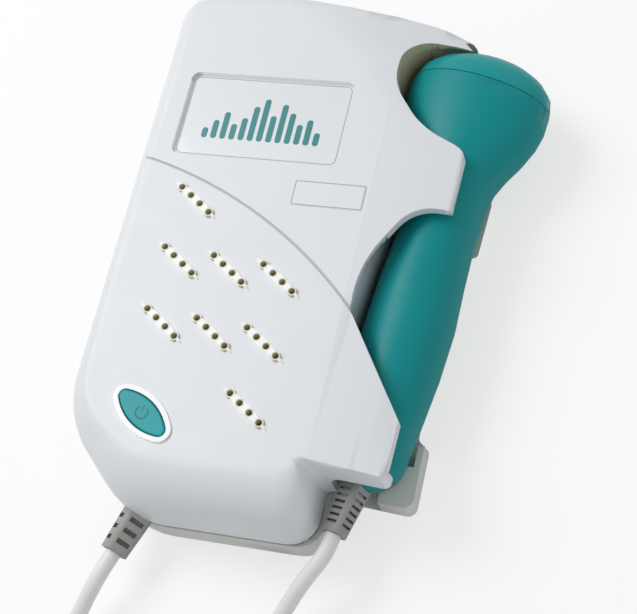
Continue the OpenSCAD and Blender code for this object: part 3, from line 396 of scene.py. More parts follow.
@dataclass(frozen=True)
class ShellPlastic(JointedPlastic):
    """White moulded ABS with painted highlights on the raised grille ribs and the button's rim, and
    painted shade inside the hood and in the fine groove.

    Attributes:
        rib: Painted highlight on the raised grille ribs, as sRGB hex.
        rim: Painted highlight on the rim round the button, as sRGB hex.
        face_mm: Height over the table past which the ribs and rim are painted.
        button: Middle of the button in millimetres from the unit's lower left corner.
        near_mm: Distance from the button's middle within which the rim's painted highlight holds.
        hood: Painted shade on the walls inside the hood, as sRGB hex.
        hood_corner: Least place across and along the unit, and greatest height, of that wall.
        hood_facing: Greatest share of that wall's normal along the unit.
        groove: Painted shade in the fine groove that sweeps over the front face, as sRGB hex.
        groove_centre: Middle of the line's arc in millimetres.
        groove_radius: Radius of the arc.
        groove_half: Half the width of the line.
        groove_depth: Depth under the face down to which the groove's painted shade goes.
    """

    # Painted highlights: the raised ribs and the button's rim are painted whiter than the shell
    rib: str = "F6F7F4"
    rim: str = "F3F7F8"
    face_mm: float = 28.63
    button: tuple[float, float] = (23.383, 21.3)
    near_mm: float = 11.5
    # Painted shade: the walls inside the hood that face the probe are painted dark beige
    hood: str = "CFC3A6"
    hood_corner: Point = (64.0, 108.0, 28.2)
    hood_facing: float = 0.25
    # Painted shade: the fine groove is painted grey
    groove: str = "B4B8BA"
    groove_centre: tuple[float, float] = (-24.79, -33.467)
    groove_radius: float = 127.4
    groove_half: float = 0.36
    groove_depth: float = 0.8

    def paint(self, tree: Any, place: Any) -> Any:
        """Paints highlights on what stands over the front face, the ribs and the button's rim, and
        shade inside the hood and in the groove.

        Args:
            tree: The node tree.
            place: The Object coordinates.

        Returns:
            The colour socket.
        """
        shell = super().paint(tree, place)
        height = add_node(tree, "ShaderNodeSeparateXYZ", {}, {0: place}).outputs["Z"]
        raised = between(tree, height, self.face_mm * MM, FAR)
        middle = on_unit(self.button[0], self.button[1], self.face_mm)
        reach = add_node(
            tree, "ShaderNodeVectorMath", {"operation": "DISTANCE", 1: middle}, {0: place}
        )
        near = between(tree, reach.outputs["Value"], -FAR, self.near_mm * MM)
        # Painted highlights on the ribs and the rim, painted shade inside the hood and in the groove
        return overlaid(tree, shell, (
            (raised, self.rib),
            (all_of(tree, (raised, near)), self.rim),
            (self.hood_shade_mask(tree, place), self.hood),
            (self.groove_shade_mask(tree, place), self.groove),
        ))

    def groove_shade_mask(self, tree: Any, place: Any) -> Any:
        """Finds the fine groove that sweeps over the front face, where shade is painted.

        Args:
            tree: The node tree.
            place: The Object coordinates.

        Returns:
            The mask socket.
        """
        parts = add_node(tree, "ShaderNodeSeparateXYZ", {}, {0: place}).outputs
        level = add_node(tree, "ShaderNodeCombineXYZ", {}, {0: parts["X"], 1: parts["Y"]})
        centre = on_unit(self.groove_centre[0], self.groove_centre[1], 0.0)
        reach = add_node(
            tree, "ShaderNodeVectorMath", {"operation": "DISTANCE", 1: centre},
            {0: level.outputs[0]},
        )
        inner = (self.groove_radius - self.groove_half) * MM
        outer = (self.groove_radius + self.groove_half) * MM
        return all_of(tree, (
            between(tree, reach.outputs["Value"], inner, outer),
            between(tree, parts["Z"], (self.face_mm - self.groove_depth) * MM, FAR),
        ))

    def hood_shade_mask(self, tree: Any, place: Any) -> Any:
        """Finds the walls inside the hood, which face the probe and get painted shade.

        Args:
            tree: The node tree.
            place: The Object coordinates.

        Returns:
            The mask socket.
        """
        corner = on_unit(*self.hood_corner)
        parts = add_node(tree, "ShaderNodeSeparateXYZ", {}, {0: place}).outputs
        coords = add_node(tree, "ShaderNodeTexCoord", {}, {})
        facing = add_node(tree, "ShaderNodeSeparateXYZ", {}, {0: coords.outputs["Normal"]}).outputs
        return all_of(tree, (
            between(tree, parts["X"], corner.x, FAR),
            between(tree, parts["Y"], corner.y, FAR),
            between(tree, parts["Z"], -FAR, corner.z),
            between(tree, facing["Y"], -FAR, self.hood_facing),
            between(tree, facing["Z"], -FAR, STEEP),
        ))


@dataclass(frozen=True)
class HoleShadedPlastic(Finish):
    """Plastic with shade painted in a darker colour below a height.

    Attributes:
        hole_shade: Colour of the shade painted down the holes' walls, as sRGB hex.
        hole_shade_mm: Height over the table below which the painted shade shows.
    """

    hole_shade: str = "C4BD98"
    hole_shade_mm: float = 29.15

    def paint(self, tree: Any, place: Any) -> Any:
        """Paints the shade below its height.

        Args:
            tree: The node tree.
            place: The Object coordinates.

        Returns:
            The colour socket.
        """
        body = super().paint(tree, place)
        height = add_node(tree, "ShaderNodeSeparateXYZ", {}, {0: place}).outputs["Z"]
        # Painted shade: below this height, down the walls of the holes, the collars are darker
        low = between(tree, height, -FAR, self.hole_shade_mm * MM)
        return overlaid(tree, body, ((low, self.hole_shade),))


@dataclass(frozen=True)
class WovenCloth(Finish):
    """Plain-woven dust cloth.

    Attributes:
        thread_mm: Distance between threads, drawn coarse enough to show in the holes.
    """

    thread_mm: float = 0.35

    def relief(self, tree: Any, place: Any) -> Any:
        """Bumps the cloth with crossed threads.

        Args:
            tree: The node tree.
            place: The Object coordinates.

        Returns:
            The normal socket.
        """
        waves = []
        scale = WAVE_SCALE / (2 * self.thread_mm * MM)
        for axis in ("X", "Y"):
            wave = add_node(
                tree,
                "ShaderNodeTexWave",
                {"bands_direction": axis, "in:Scale": scale},
                {"Vector": place},
            )
            waves.append(wave.outputs["Fac"])
        weave = add_node(
            tree, "ShaderNodeMath", {"operation": "MAXIMUM"}, {0: waves[0], 1: waves[1]}
        )
        bump = add_node(
            tree,
            "ShaderNodeBump",
            {"in:Strength": 1.0, "in:Distance": self.relief_mm * MM},
            {"Height": weave.outputs[0]},
        )
        return bump.outputs["Normal"]


class Finishes(Enum):
    """The finishes of the product, each made once."""

    # Injection-moulded ABS: an even, cool white with soft satin lights, painted highlights on the
    # ribs and button rim, and painted shade in the hood and the groove
    SHELL = ShellPlastic(
        "white_abs_moulded", "DEE1E5", "DADEE2", roughness=0.42, spread=0.03,
        grain_mm=0.45, relief_mm=0.006, edge_mm=0.3,
    )
    # The same white ABS painted a little greyer, as shade on the walls below the seam, so the rear
    # also reads as a piece of its own
    REAR = JointedPlastic(
        "white_abs_rear_painted_shade", "D3D6D3", "CDD0CC", roughness=0.45, spread=0.04,
        grain_mm=0.45, relief_mm=0.01, edge_mm=0.3,
    )
    # ABS from a smooth mould: deep teal with wide, soft lights, and a pale line painted along its
    # seam as a highlight
    PROBE = JointedPlastic(
        "teal_abs_gloss_moulded", "008B8E", "008588", roughness=0.42, spread=0.03,
        grain_mm=1.6, relief_mm=0.004, specular=0.22, joint="3C9DA0", joint_z=(13.88, 14.12),
    )
    # The probe's face cap: a shade lighter than the shells, so its edge shows
    CAP = Finish(
        "teal_face_cap_gloss", "0B9598", "048D90", roughness=0.38, spread=0.03,
        grain_mm=1.6, relief_mm=0.004, specular=0.25,
    )
    # Satin moulded cap: brighter than the probe, with one soft light on its round edge
    BUTTON = Finish(
        "teal_button_satin_moulded", "189FA4", "13979C", roughness=0.38, spread=0.03,
        grain_mm=0.8, relief_mm=0.005, specular=0.25,
    )
    # Moulded soft rubber: matt grey with a dusty grain
    RUBBER = Finish(
        "grey_rubber_moulded", "9A9C98", "8E908C", roughness=0.55, spread=0.08,
        grain_mm=0.35, relief_mm=0.02,
    )
    # Rubber on the walls of the boots' slots: painted shade, darker and rougher, so the slots read
    # as deep
    SLOT_SHADE_RUBBER = Finish(
        "grey_rubber_slot_painted_shade", "6C6E6A", "636561", roughness=0.65, spread=0.08,
        grain_mm=0.35, relief_mm=0.02,
    )
    # Extruded vinyl jacket: even off-white with a waxy light along it
    LEAD = Finish(
        "white_vinyl_jacket_extruded", "E6E7E8", "DFE0E1", roughness=0.42, spread=0.05,
        grain_mm=1.2, relief_mm=0.015,
    )
    # Printed polyester film: flat white under a thin gloss
    PANEL = Finish(
        "white_polyester_panel_printed", "DDE1E4", "D9DDE0", roughness=0.3, spread=0.02,
        grain_mm=0.6, relief_mm=0.003, coat=0.2,
    )
    # Screen-printed ink: a flat film of deep teal
    INK = Finish(
        "teal_ink_screen_printed", "027E82", "01777B", roughness=0.35, spread=0.04,
        grain_mm=0.25, relief_mm=0.004,
    )
    # Pad-printed ink: a mark a little darker than the cap under it
    MARK_INK = Finish(
        "dark_teal_ink_pad_printed", "01747A", "016C72", roughness=0.45, spread=0.04,
        grain_mm=0.25, relief_mm=0.004,
    )
    # Screen-printed ink: fine grey outlines on the window and the badge
    GREY_INK = Finish(
        "grey_ink_screen_printed", "A6ABAD", "9DA2A4", roughness=0.5, spread=0.04,
        grain_mm=0.25, relief_mm=0.004,
    )
    # Moulded collars: cream rings, with shade painted in beige on the walls where the holes go down
    COLLAR = HoleShadedPlastic(
        "cream_collar_moulded", "F4F3E8", "F0EEE0", roughness=0.5, spread=0.05,
        grain_mm=0.4, relief_mm=0.01,
    )
    # Woven dust cloth: dull beige with crossed threads, seen through the holes
    CLOTH = WovenCloth(
        "beige_polyester_woven", "6B6447", "554F38", roughness=0.8, spread=0.08,
        relief_mm=0.06,
    )
    # Cured solder mask: glossy green
    BOARD = Finish(
        "green_solder_mask_cured", "1C6B45", "175C3B", roughness=0.4, spread=0.08,
        grain_mm=1.0, relief_mm=0.02, coat=0.2,
    )
    # Moulded nylon: nearly matt black
    BLACK = Finish(
        "black_nylon_moulded", "1E1F21", "26272A", roughness=0.5, spread=0.08,
        grain_mm=0.4, relief_mm=0.02,
    )
    # Pressed paper: dull, fibrous black
    PAPER = Finish(
        "black_paper_cone_pressed", "18181A", "222224", roughness=0.85, spread=0.06,
        grain_mm=0.5, relief_mm=0.04,
    )
    # Stamped and nickel-plated steel: a bright, slightly warm metal
    NICKEL = Finish(
        "nickel_plated_steel_stamped", "C9C8C2", "BDBCB6", roughness=0.28, spread=0.08,
        grain_mm=0.6, relief_mm=0.01, metallic=1.0,
    )
    # Turned and zinc-plated steel: a cooler, greyer metal
    ZINC = Finish(
        "zinc_plated_steel_turned", "B9BABC", "AEB0B3", roughness=0.33, spread=0.08,
        grain_mm=0.5, relief_mm=0.01, metallic=1.0,
    )
    # Pressed steel under black lacquer: dark grey with a low sheen
    FRAME_STEEL = Finish(
        "black_lacquered_steel_pressed", "3A3C3F", "303235", roughness=0.45, spread=0.08,
        grain_mm=0.5, relief_mm=0.015,
    )
    # Shrunk PVC sleeve: glossy blue
    CELL = Finish(
        "blue_pvc_sleeve_shrunk", "35618F", "2E5780", roughness=0.32, spread=0.05,
        grain_mm=1.4, relief_mm=0.02, coat=0.3,
    )
    # Drawn aluminium: a soft grey metal
    CAN = Finish(
        "aluminium_can_drawn", "A9ABB0", "9B9DA3", roughness=0.3, spread=0.06,
        grain_mm=0.6, relief_mm=0.01, metallic=1.0,
    )
    # Moulded nylon: a dry mid grey
    WHEEL = Finish(
        "grey_nylon_moulded", "8C8F91", "818486", roughness=0.5, spread=0.06,
        grain_mm=0.4, relief_mm=0.02,
    )
    # Moulded ABS: pale cream
    CARRIER = Finish(
        "cream_abs_moulded", "D9D2B4", "D0C9AB", roughness=0.45, spread=0.05,
        grain_mm=0.5, relief_mm=0.015,
    )
    # Lapped ceramic under silver: a fine-grained pale gold
    CERAMIC = Finish(
        "silvered_ceramic_lapped", "CDB77A", "C2AC70", roughness=0.35, spread=0.06,
        grain_mm=0.3, relief_mm=0.01,
    )

    def material(self) -> Any:
        """The finish's material, made the first time that it is asked for."""
        found = bpy.data.materials.get(self.value.name)
        return found or self.value.build()


NODE_FINISHES: dict[str, Finishes] = {
    "front_shell": Finishes.SHELL,
    "rear_shell": Finishes.REAR,
    "battery_door": Finishes.REAR,
    "window_panel": Finishes.PANEL,
    "power_button": Finishes.BUTTON,
    "power_switch": Finishes.BLACK,
    "switch_board": Finishes.BOARD,
    "speaker_cloth": Finishes.CLOTH,
    "speaker_frame": Finishes.FRAME_STEEL,
    "speaker_cone": Finishes.PAPER,
    "speaker_magnet": Finishes.ZINC,
    "battery_cells": Finishes.CELL,
    "battery_springs": Finishes.NICKEL,
    "battery_contacts": Finishes.NICKEL,
    "main_board": Finishes.BOARD,
    "board_chips": Finishes.BLACK,
    "capacitors": Finishes.CAN,
    "volume_wheel": Finishes.WHEEL,
    "volume_pot": Finishes.BLACK,
    "earphone_socket": Finishes.BLACK,
    "housing_screws": Finishes.ZINC,
    "board_screws": Finishes.ZINC,
    "unit_strain_relief": Finishes.RUBBER,
    "probe_front_shell": Finishes.PROBE,
    "probe_rear_shell": Finishes.PROBE,
    "probe_face_cap": Finishes.CAP,
    "crystal_carrier": Finishes.CARRIER,
    "probe_crystals": Finishes.CERAMIC,
    "acoustic_backing": Finishes.BLACK,
    "probe_board": Finishes.BOARD,
    "probe_strain_relief": Finishes.RUBBER,
    "unit_lead": Finishes.LEAD,
    "lead_coil": Finishes.LEAD,
    "probe_lead": Finishes.LEAD,
}


def dress(piece: Any, finish: Finishes) -> None:
    """Gives a piece one finish all over.

    Args:
        piece: The object.
        finish: The finish.
    """
    piece.data.materials.clear()
    piece.data.materials.append(finish.material())


def deselect() -> None:
    """Leaves object mode with nothing selected."""
    if bpy.context.object and bpy.context.object.mode != "OBJECT":
        bpy.ops.object.mode_set(mode="OBJECT")
    bpy.ops.object.select_all(action="DESELECT")


def activate(piece: Any) -> None:
    """Makes a piece the only selected and active one.

    Args:
        piece: The object.
    """
    deselect()
    piece.select_set(True)
    bpy.context.view_layer.objects.active = piece


def settle(piece: Any, name: str) -> Any:
    """Names a piece and applies its place, so its object sits at the origin.

    Args:
        piece: The object.
        name: Its name.

    Returns:
        The object.
    """
    piece.name = name
    piece.data.name = name
    activate(piece)
    bpy.ops.object.transform_apply(location=True, rotation=True, scale=True)
    return piece


@dataclass(frozen=True)
class SoftBox:
    """A square soft box that faces the object.

    Attributes:
        name: The lamp's name.
        place: Where it hangs, in metres.
        size: Its side, in metres.
        power: Its power in watts.
    """

    name: str
    place: Point
    size: float
    power: float

    def hang(self) -> None:
        """Hangs the lamp and turns it to the middle of the object."""
        data = bpy.data.lights.new(self.name, "AREA")
        data.shape = "SQUARE"
        data.size = self.size
        data.energy = self.power
        lamp = bpy.data.objects.new(self.name, data)
        bpy.context.scene.collection.objects.link(lamp)
        lamp.location = self.place
        lamp.rotation_euler = (-Vector(self.place)).to_track_quat("-Z", "Y").to_euler()


@dataclass(frozen=True)
class Studio:
    """Camera at the photograph's viewing angle, pale floor and soft lamps.

    Attributes:
        lens_mm: Focal length of the camera.
        sensor_mm: Width of its sensor.
        place: Where it stands, in metres.
        right: The way to the right of the picture.
        back: The way from the object to the camera.
        floor_size: Side of the floor, in metres.
        floor_drop: Depth of the floor under the object, so that they share no plane.
        paper_glow: Share of the floor that is plain white to the camera.
        fill: Strength of the even light in the room.
        boxes: The soft boxes.
    """

    lens_mm: float = 93.1
    sensor_mm: float = 36.0
    place: Point = (123.05 * MM, -170.84 * MM, 372.13 * MM)
    right: Point = (0.9506, 0.2181, -0.2211)
    back: Point = (0.2922, -0.3864, 0.8749)
    floor_size: float = 6.0
    floor_drop: float = 0.2 * MM
    paper_glow: float = 0.65
    fill: float = 0.45
    boxes: tuple[SoftBox, ...] = (
        SoftBox("key_box", (-0.55, 0.25, 0.75), 0.5, 5.2),
        SoftBox("fill_box", (0.5, -0.6, 0.7), 0.9, 1.2),
    )

    def camera(self) -> None:
        """Sets the camera by its axes, which were solved from the photograph."""
        data = bpy.data.cameras.new("photo_camera")
        data.sensor_width = self.sensor_mm
        data.sensor_fit = "HORIZONTAL"
        data.lens = self.lens_mm
        data.clip_start = 0.01
        data.clip_end = 20.0
        camera = bpy.data.objects.new("photo_camera", data)
        bpy.context.scene.collection.objects.link(camera)
        back = Vector(self.back).normalized()
        upward = back.cross(Vector(self.right)).normalized()
        right = upward.cross(back).normalized()
        turn = Matrix((right, upward, back)).transposed()
        camera.matrix_world = Matrix.Translation(self.place) @ turn.to_4x4()
        bpy.context.scene.camera = camera

    def floor(self) -> None:
        """Lays a wide pale floor under the object."""
        deselect()
        bpy.ops.mesh.primitive_plane_add(
            size=self.floor_size, location=(0.0, 0.0, -self.floor_drop)
        )
        floor = settle(bpy.context.object, "floor")
        material = bpy.data.materials.new("pale_paper_sweep")
        material.use_nodes = True
        tree = material.node_tree
        tree.nodes.clear()
        paper = add_node(
            tree,
            "ShaderNodeBsdfPrincipled",
            {"in:Base Color": linear("FCFCFC"), "in:Roughness": 0.9, "in:Specular IOR Level": 0.1},
            {},
        )
        rays = add_node(tree, "ShaderNodeLightPath", {}, {})
        bright = add_node(
            tree, "ShaderNodeEmission", {"in:Color": linear("FFFFFF"), "in:Strength": 1.0}, {}
        )
        share = add_node(
            tree,
            "ShaderNodeMath",
            {"operation": "MULTIPLY", 1: self.paper_glow},
            {0: rays.outputs["Is Camera Ray"]},
        )
        mix = add_node(
            tree,
            "ShaderNodeMixShader",
            {},
            {0: share.outputs[0], 1: paper.outputs["BSDF"], 2: bright.outputs["Emission"]},
        )
        add_node(tree, "ShaderNodeOutputMaterial", {}, {"Surface": mix.outputs[0]})
        floor.data.materials.append(material)

    def world(self) -> None:
        """Fills the room with even light, white to the camera and to reflections."""
        world = bpy.data.worlds.new("studio")
        bpy.context.scene.world = world
        world.use_nodes = True
        tree = world.node_tree
        tree.nodes.clear()
        rays = add_node(tree, "ShaderNodeLightPath", {}, {})
        seen = add_node(
            tree,
            "ShaderNodeMath",
            {"operation": "MAXIMUM"},
            {0: rays.outputs["Is Camera Ray"], 1: rays.outputs["Is Glossy Ray"]},
        )
        fill = add_node(
            tree,
            "ShaderNodeBackground",
            {"in:Color": linear("FFFFFF"), "in:Strength": self.fill},
            {},
        )
        white = add_node(
            tree, "ShaderNodeBackground", {"in:Color": linear("FFFFFF"), "in:Strength": 1.0}, {}
        )
        mix = add_node(
            tree,
            "ShaderNodeMixShader",
            {},
            {0: seen.outputs[0], 1: fill.outputs[0], 2: white.outputs[0]},
        )
        add_node(tree, "ShaderNodeOutputWorld", {}, {"Surface": mix.outputs[0]})

    def build(self) -> None:
        """Sets up the whole studio."""
        bpy.context.scene.view_settings.view_transform = "Standard"
        self.camera()
        self.floor()
        self.world()
        for box in self.boxes:
            box.hang()


FRAME: dict[str, Any] = {}


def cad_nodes() -> dict[str, Any]:
    """The solids of the part by name."""
    return FRAME["nodes"]


@dataclass
class Lead:
    """The probe lead, one unbroken soft cable from the unit's boot to the probe's boot.

    Attributes:
        diameter: Width of the jacket.
        turn_gap: Gap between turns of the coil.
        turns: Turns in each layer of the coil.
        climb_turns: Part of a turn in which the lead climbs to the upper layer.
        climb_bow: How far it bows inward on the way, as a share of the layers' distance.
        coil_centre: Middle of the coil on the table.
        coil_radius: Radius of the outermost turn.
        steps: Points in each turn.
        unit_route: Points in millimetres from the unit's boot to the coil.
        probe_route: Points in millimetres from the coil to the probe's boot.
    """

    diameter: float = 4.0 * MM
    turn_gap: float = 0.6 * MM
    turns: int = 4
    climb_turns: float = 0.5
    climb_bow: float = 0.25
    coil_centre: tuple[float, float] = (-14.0 * MM, -140.0 * MM)
    coil_radius: float = 36.5 * MM
    steps: int = 24
    unit_route: list[Point] = field(default_factory=lambda: [
        (-34, -81, 9.5), (-35.6, -85.6, 9.5), (-37.6, -90.4, 8.2), (-40, -95.4, 5.4),
        (-42.6, -100.6, 3), (-45.2, -106, 2), (-47.6, -112, 2), (-49.4, -119, 2),
        (-50.4, -126, 2), (-50.5, -131.5, 2), (-50.5, -136, 2),
    ])
    probe_route: list[Point] = field(default_factory=lambda: [
        (22.5, -136, 6.6), (22.5, -131.5, 6.6), (22.2, -126, 5.6), (21.2, -120, 3.6),
        (19.6, -114.5, 2.4), (16.4, -108.4, 2), (12.6, -102.6, 2), (9.4, -96.6, 2.4),
        (8.8, -91.2, 4.2), (11.4, -85.8, 7.4), (15, -80.4, 11), (18.8, -74.8, 13.5),
        (20, -69.5, 13.5),
    ])

    def coil(self) -> list[Vector]:
        """Winds the coil, in on the table and out again on the layer above.

        Returns:
            The coil's points.
        """
        pitch = self.diameter + self.turn_gap
        count = round((2 * self.turns + self.climb_turns) * self.steps)
        points = []
        for k in range(count + 1):
            t = k / self.steps
            inward = min(t, self.turns)
            climb = max(0.0, min(t - self.turns, self.climb_turns)) / self.climb_turns
            outward = max(0.0, t - self.turns - self.climb_turns)
            radius = self.coil_radius - pitch * (inward - outward)
            radius -= pitch * self.climb_bow * math.sin(math.pi * climb)
            angle = math.pi + math.tau * t
            points.append(Vector((
                self.coil_centre[0] + radius * math.cos(angle),
                self.coil_centre[1] + radius * math.sin(angle),
                self.diameter / 2 + pitch * climb,
            )))
        return points

    def build(self) -> None:
        start = [Vector(p) * MM for p in self.unit_route]
        end = [Vector(p) * MM for p in self.probe_route]
        route = start + self.coil() + end
        curve = bpy.data.curves.new("probe_lead_jacket", "CURVE")
        curve.dimensions = "3D"
        curve.resolution_u = 3
        curve.bevel_depth = self.diameter / 2
        curve.bevel_resolution = 5
        curve.use_fill_caps = True
        spline = curve.splines.new("BEZIER")
        spline.bezier_points.add(len(route) - 1)
        for point, place in zip(spline.bezier_points, route):
            point.co = place
            point.handle_left_type = "AUTO"
            point.handle_right_type = "AUTO"
        lead = bpy.data.objects.new("probe_lead_jacket", curve)
        bpy.context.scene.collection.objects.link(lead)
        lead.data.materials.append(Finishes.LEAD.material())
        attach(lead, Body.UNIT.value)
        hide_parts("unit_lead", "lead_coil", "probe_lead")


@dataclass
class MouldedCopy:
    """A finer-shaded copy of a moulded solid: merged, with smooth rounds and crisp edges.

    Attributes:
        node: The solid's name.
        body: The body that it rides on.
        finish: Its finish.
        slot: The material slot of the record; not used.
        angle: Sharpest bend in degrees that is shaded as a round.
        round_mm: Radius of a real bevel along its crisp edges, or none.
    """

    node: str
    body: Body
    finish: Finishes
    slot: str
    angle: float = 32.0
    round_mm: float = 0.0

    def build(self) -> Any:
        """Copies, merges and smooths the solid, and lets the copy stand for it.

        Returns:
            The copy.
        """
        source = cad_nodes()[self.node]
        mesh = source.data.copy()
        piece = bpy.data.objects.new(self.node + "_moulding", mesh)
        bpy.context.scene.collection.objects.link(piece)
        work = bmesh.new()
        work.from_mesh(mesh)
        bmesh.ops.remove_doubles(work, verts=work.verts, dist=MERGE)
        bmesh.ops.dissolve_degenerate(work, dist=MERGE / 2, edges=work.edges)
        work.to_mesh(mesh)
        work.free()
        activate(piece)
        if self.round_mm:
            self.flatten(piece)
            finish_edges(piece, self.round_mm, self.angle)
        bpy.ops.object.shade_smooth_by_angle(angle=math.radians(self.angle))
        weighted = piece.modifiers.new("even_shading", "WEIGHTED_NORMAL")
        weighted.keep_sharp = True
        weighted.weight = 100
        bpy.ops.object.modifier_apply(modifier=weighted.name)
        self.level(mesh)
        dress(piece, self.finish)
        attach(piece, self.body.value)
        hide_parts(self.node)
        LOG.info("moulding of %s", self.node)
        return piece

    def level(self, mesh: Any) -> None:
        """Shades flat level faces dead flat up to the rounds that run into them.

        Args:
            mesh: The copy's mesh.
        """
        normals = [Vector(corner.vector) for corner in mesh.corner_normals]
        flat = {}
        for face in mesh.polygons:
            if abs(face.normal.z) > LEVEL:
                up = Vector((0.0, 0.0, math.copysign(1.0, face.normal.z)))
                flat.update({vertex: up for vertex in face.vertices})
        for face in mesh.polygons:
            for number in face.loop_indices:
                up = flat.get(mesh.loops[number].vertex_index)
                if up is not None and face.normal.dot(up) > NEARLY_LEVEL:
                    normals[number] = up
        mesh.normals_split_custom_set(normals)

    def flatten(self, piece: Any) -> None:
        """Joins the triangles of each flat face, so that an edge bevel runs evenly.

        Args:
            piece: The copy.
        """
        activate(piece)
        bpy.ops.object.mode_set(mode="EDIT")
        bpy.ops.mesh.select_all(action="SELECT")
        bpy.ops.mesh.dissolve_limited(angle_limit=math.radians(1.0))
        bpy.ops.object.mode_set(mode="OBJECT")


def finish_edges(piece: Any, radius_mm: float, angle: float) -> None:
    """Rounds the crisp edges of a piece with a bevel of three segments.

    Args:
        piece: The object.
        radius_mm: Width of the bevel in millimetres.
        angle: Least bend in degrees that is bevelled.
    """
    activate(piece)
    rounding = piece.modifiers.new("edge_round", "BEVEL")
    rounding.width = radius_mm * MM
    rounding.segments = 3
    rounding.limit_method = "ANGLE"
    rounding.angle_limit = math.radians(angle)
    bpy.ops.object.modifier_apply(modifier=rounding.name)


def pick_faces(piece: Any, test: Callable[[Any], bool]) -> None:
    """Selects faces in edit mode by their place or normal.

    Args:
        piece: The object, in edit mode.
        test: Says whether a face is taken.
    """
    bpy.ops.mesh.select_mode(type="FACE")
    bpy.ops.mesh.select_all(action="DESELECT")
    work = bmesh.from_edit_mesh(piece.data)
    for face in work.faces:
        face.select_set(test(face))
    bmesh.update_edit_mesh(piece.data)


def pick_edges(piece: Any, test: Callable[[Any], bool]) -> None:
    """Selects edges in edit mode by their direction or place.

    Args:
        piece: The object, in edit mode.
        test: Says whether an edge is taken.
    """
    bpy.ops.mesh.select_mode(type="EDGE")
    bpy.ops.mesh.select_all(action="DESELECT")
    work = bmesh.from_edit_mesh(piece.data)
    for edge in work.edges:
        edge.select_set(test(edge))
    bmesh.update_edit_mesh(piece.data)


def joined(pieces: list[Any], name: str) -> Any:
    """Joins pieces into one with its object at the origin.

    Args:
        pieces: The objects.
        name: Name of the joined piece.

    Returns:
        The object.
    """
    activate(pieces[0])
    for piece in pieces:
        piece.select_set(True)
    if len(pieces) > 1:
        bpy.ops.object.join()
    return settle(bpy.context.object, name)


def copied(piece: Any, shift: Vector) -> Any:
    """Copies a piece with its own mesh to another place.

    Args:
        piece: The object.
        shift: How far the copy is moved.

    Returns:
        The copy.
    """
    copy = bpy.data.objects.new(piece.name, piece.data.copy())
    bpy.context.scene.collection.objects.link(copy)
    copy.matrix_world = Matrix.Translation(shift) @ piece.matrix_world
    return copy


def block(size: Point, centre: Point, turn: float = 0.0, corner: float = 0.0) -> Any:
    """Models a block with rounded upright corners.

    Args:
        size: Its sides in metres.
        centre: Its middle.
        turn: Angle about the upright axis, in degrees.
        corner: Radius of the upright edges.

    Returns:
        The object.
    """
    deselect()
    bpy.ops.mesh.primitive_cube_add(size=1.0, location=centre)
    piece = bpy.context.object
    piece.scale = size
    piece.rotation_euler = (0.0, 0.0, math.radians(turn))
    bpy.ops.object.transform_apply(location=False, rotation=False, scale=True)
    if corner:
        bpy.ops.object.mode_set(mode="EDIT")
        pick_edges(piece, lambda e: abs(e.verts[0].co.z - e.verts[1].co.z) > size[2] / 2)
        bpy.ops.mesh.bevel(offset=corner, segments=5, affect="EDGES")
        bpy.ops.object.mode_set(mode="OBJECT")
    return piece


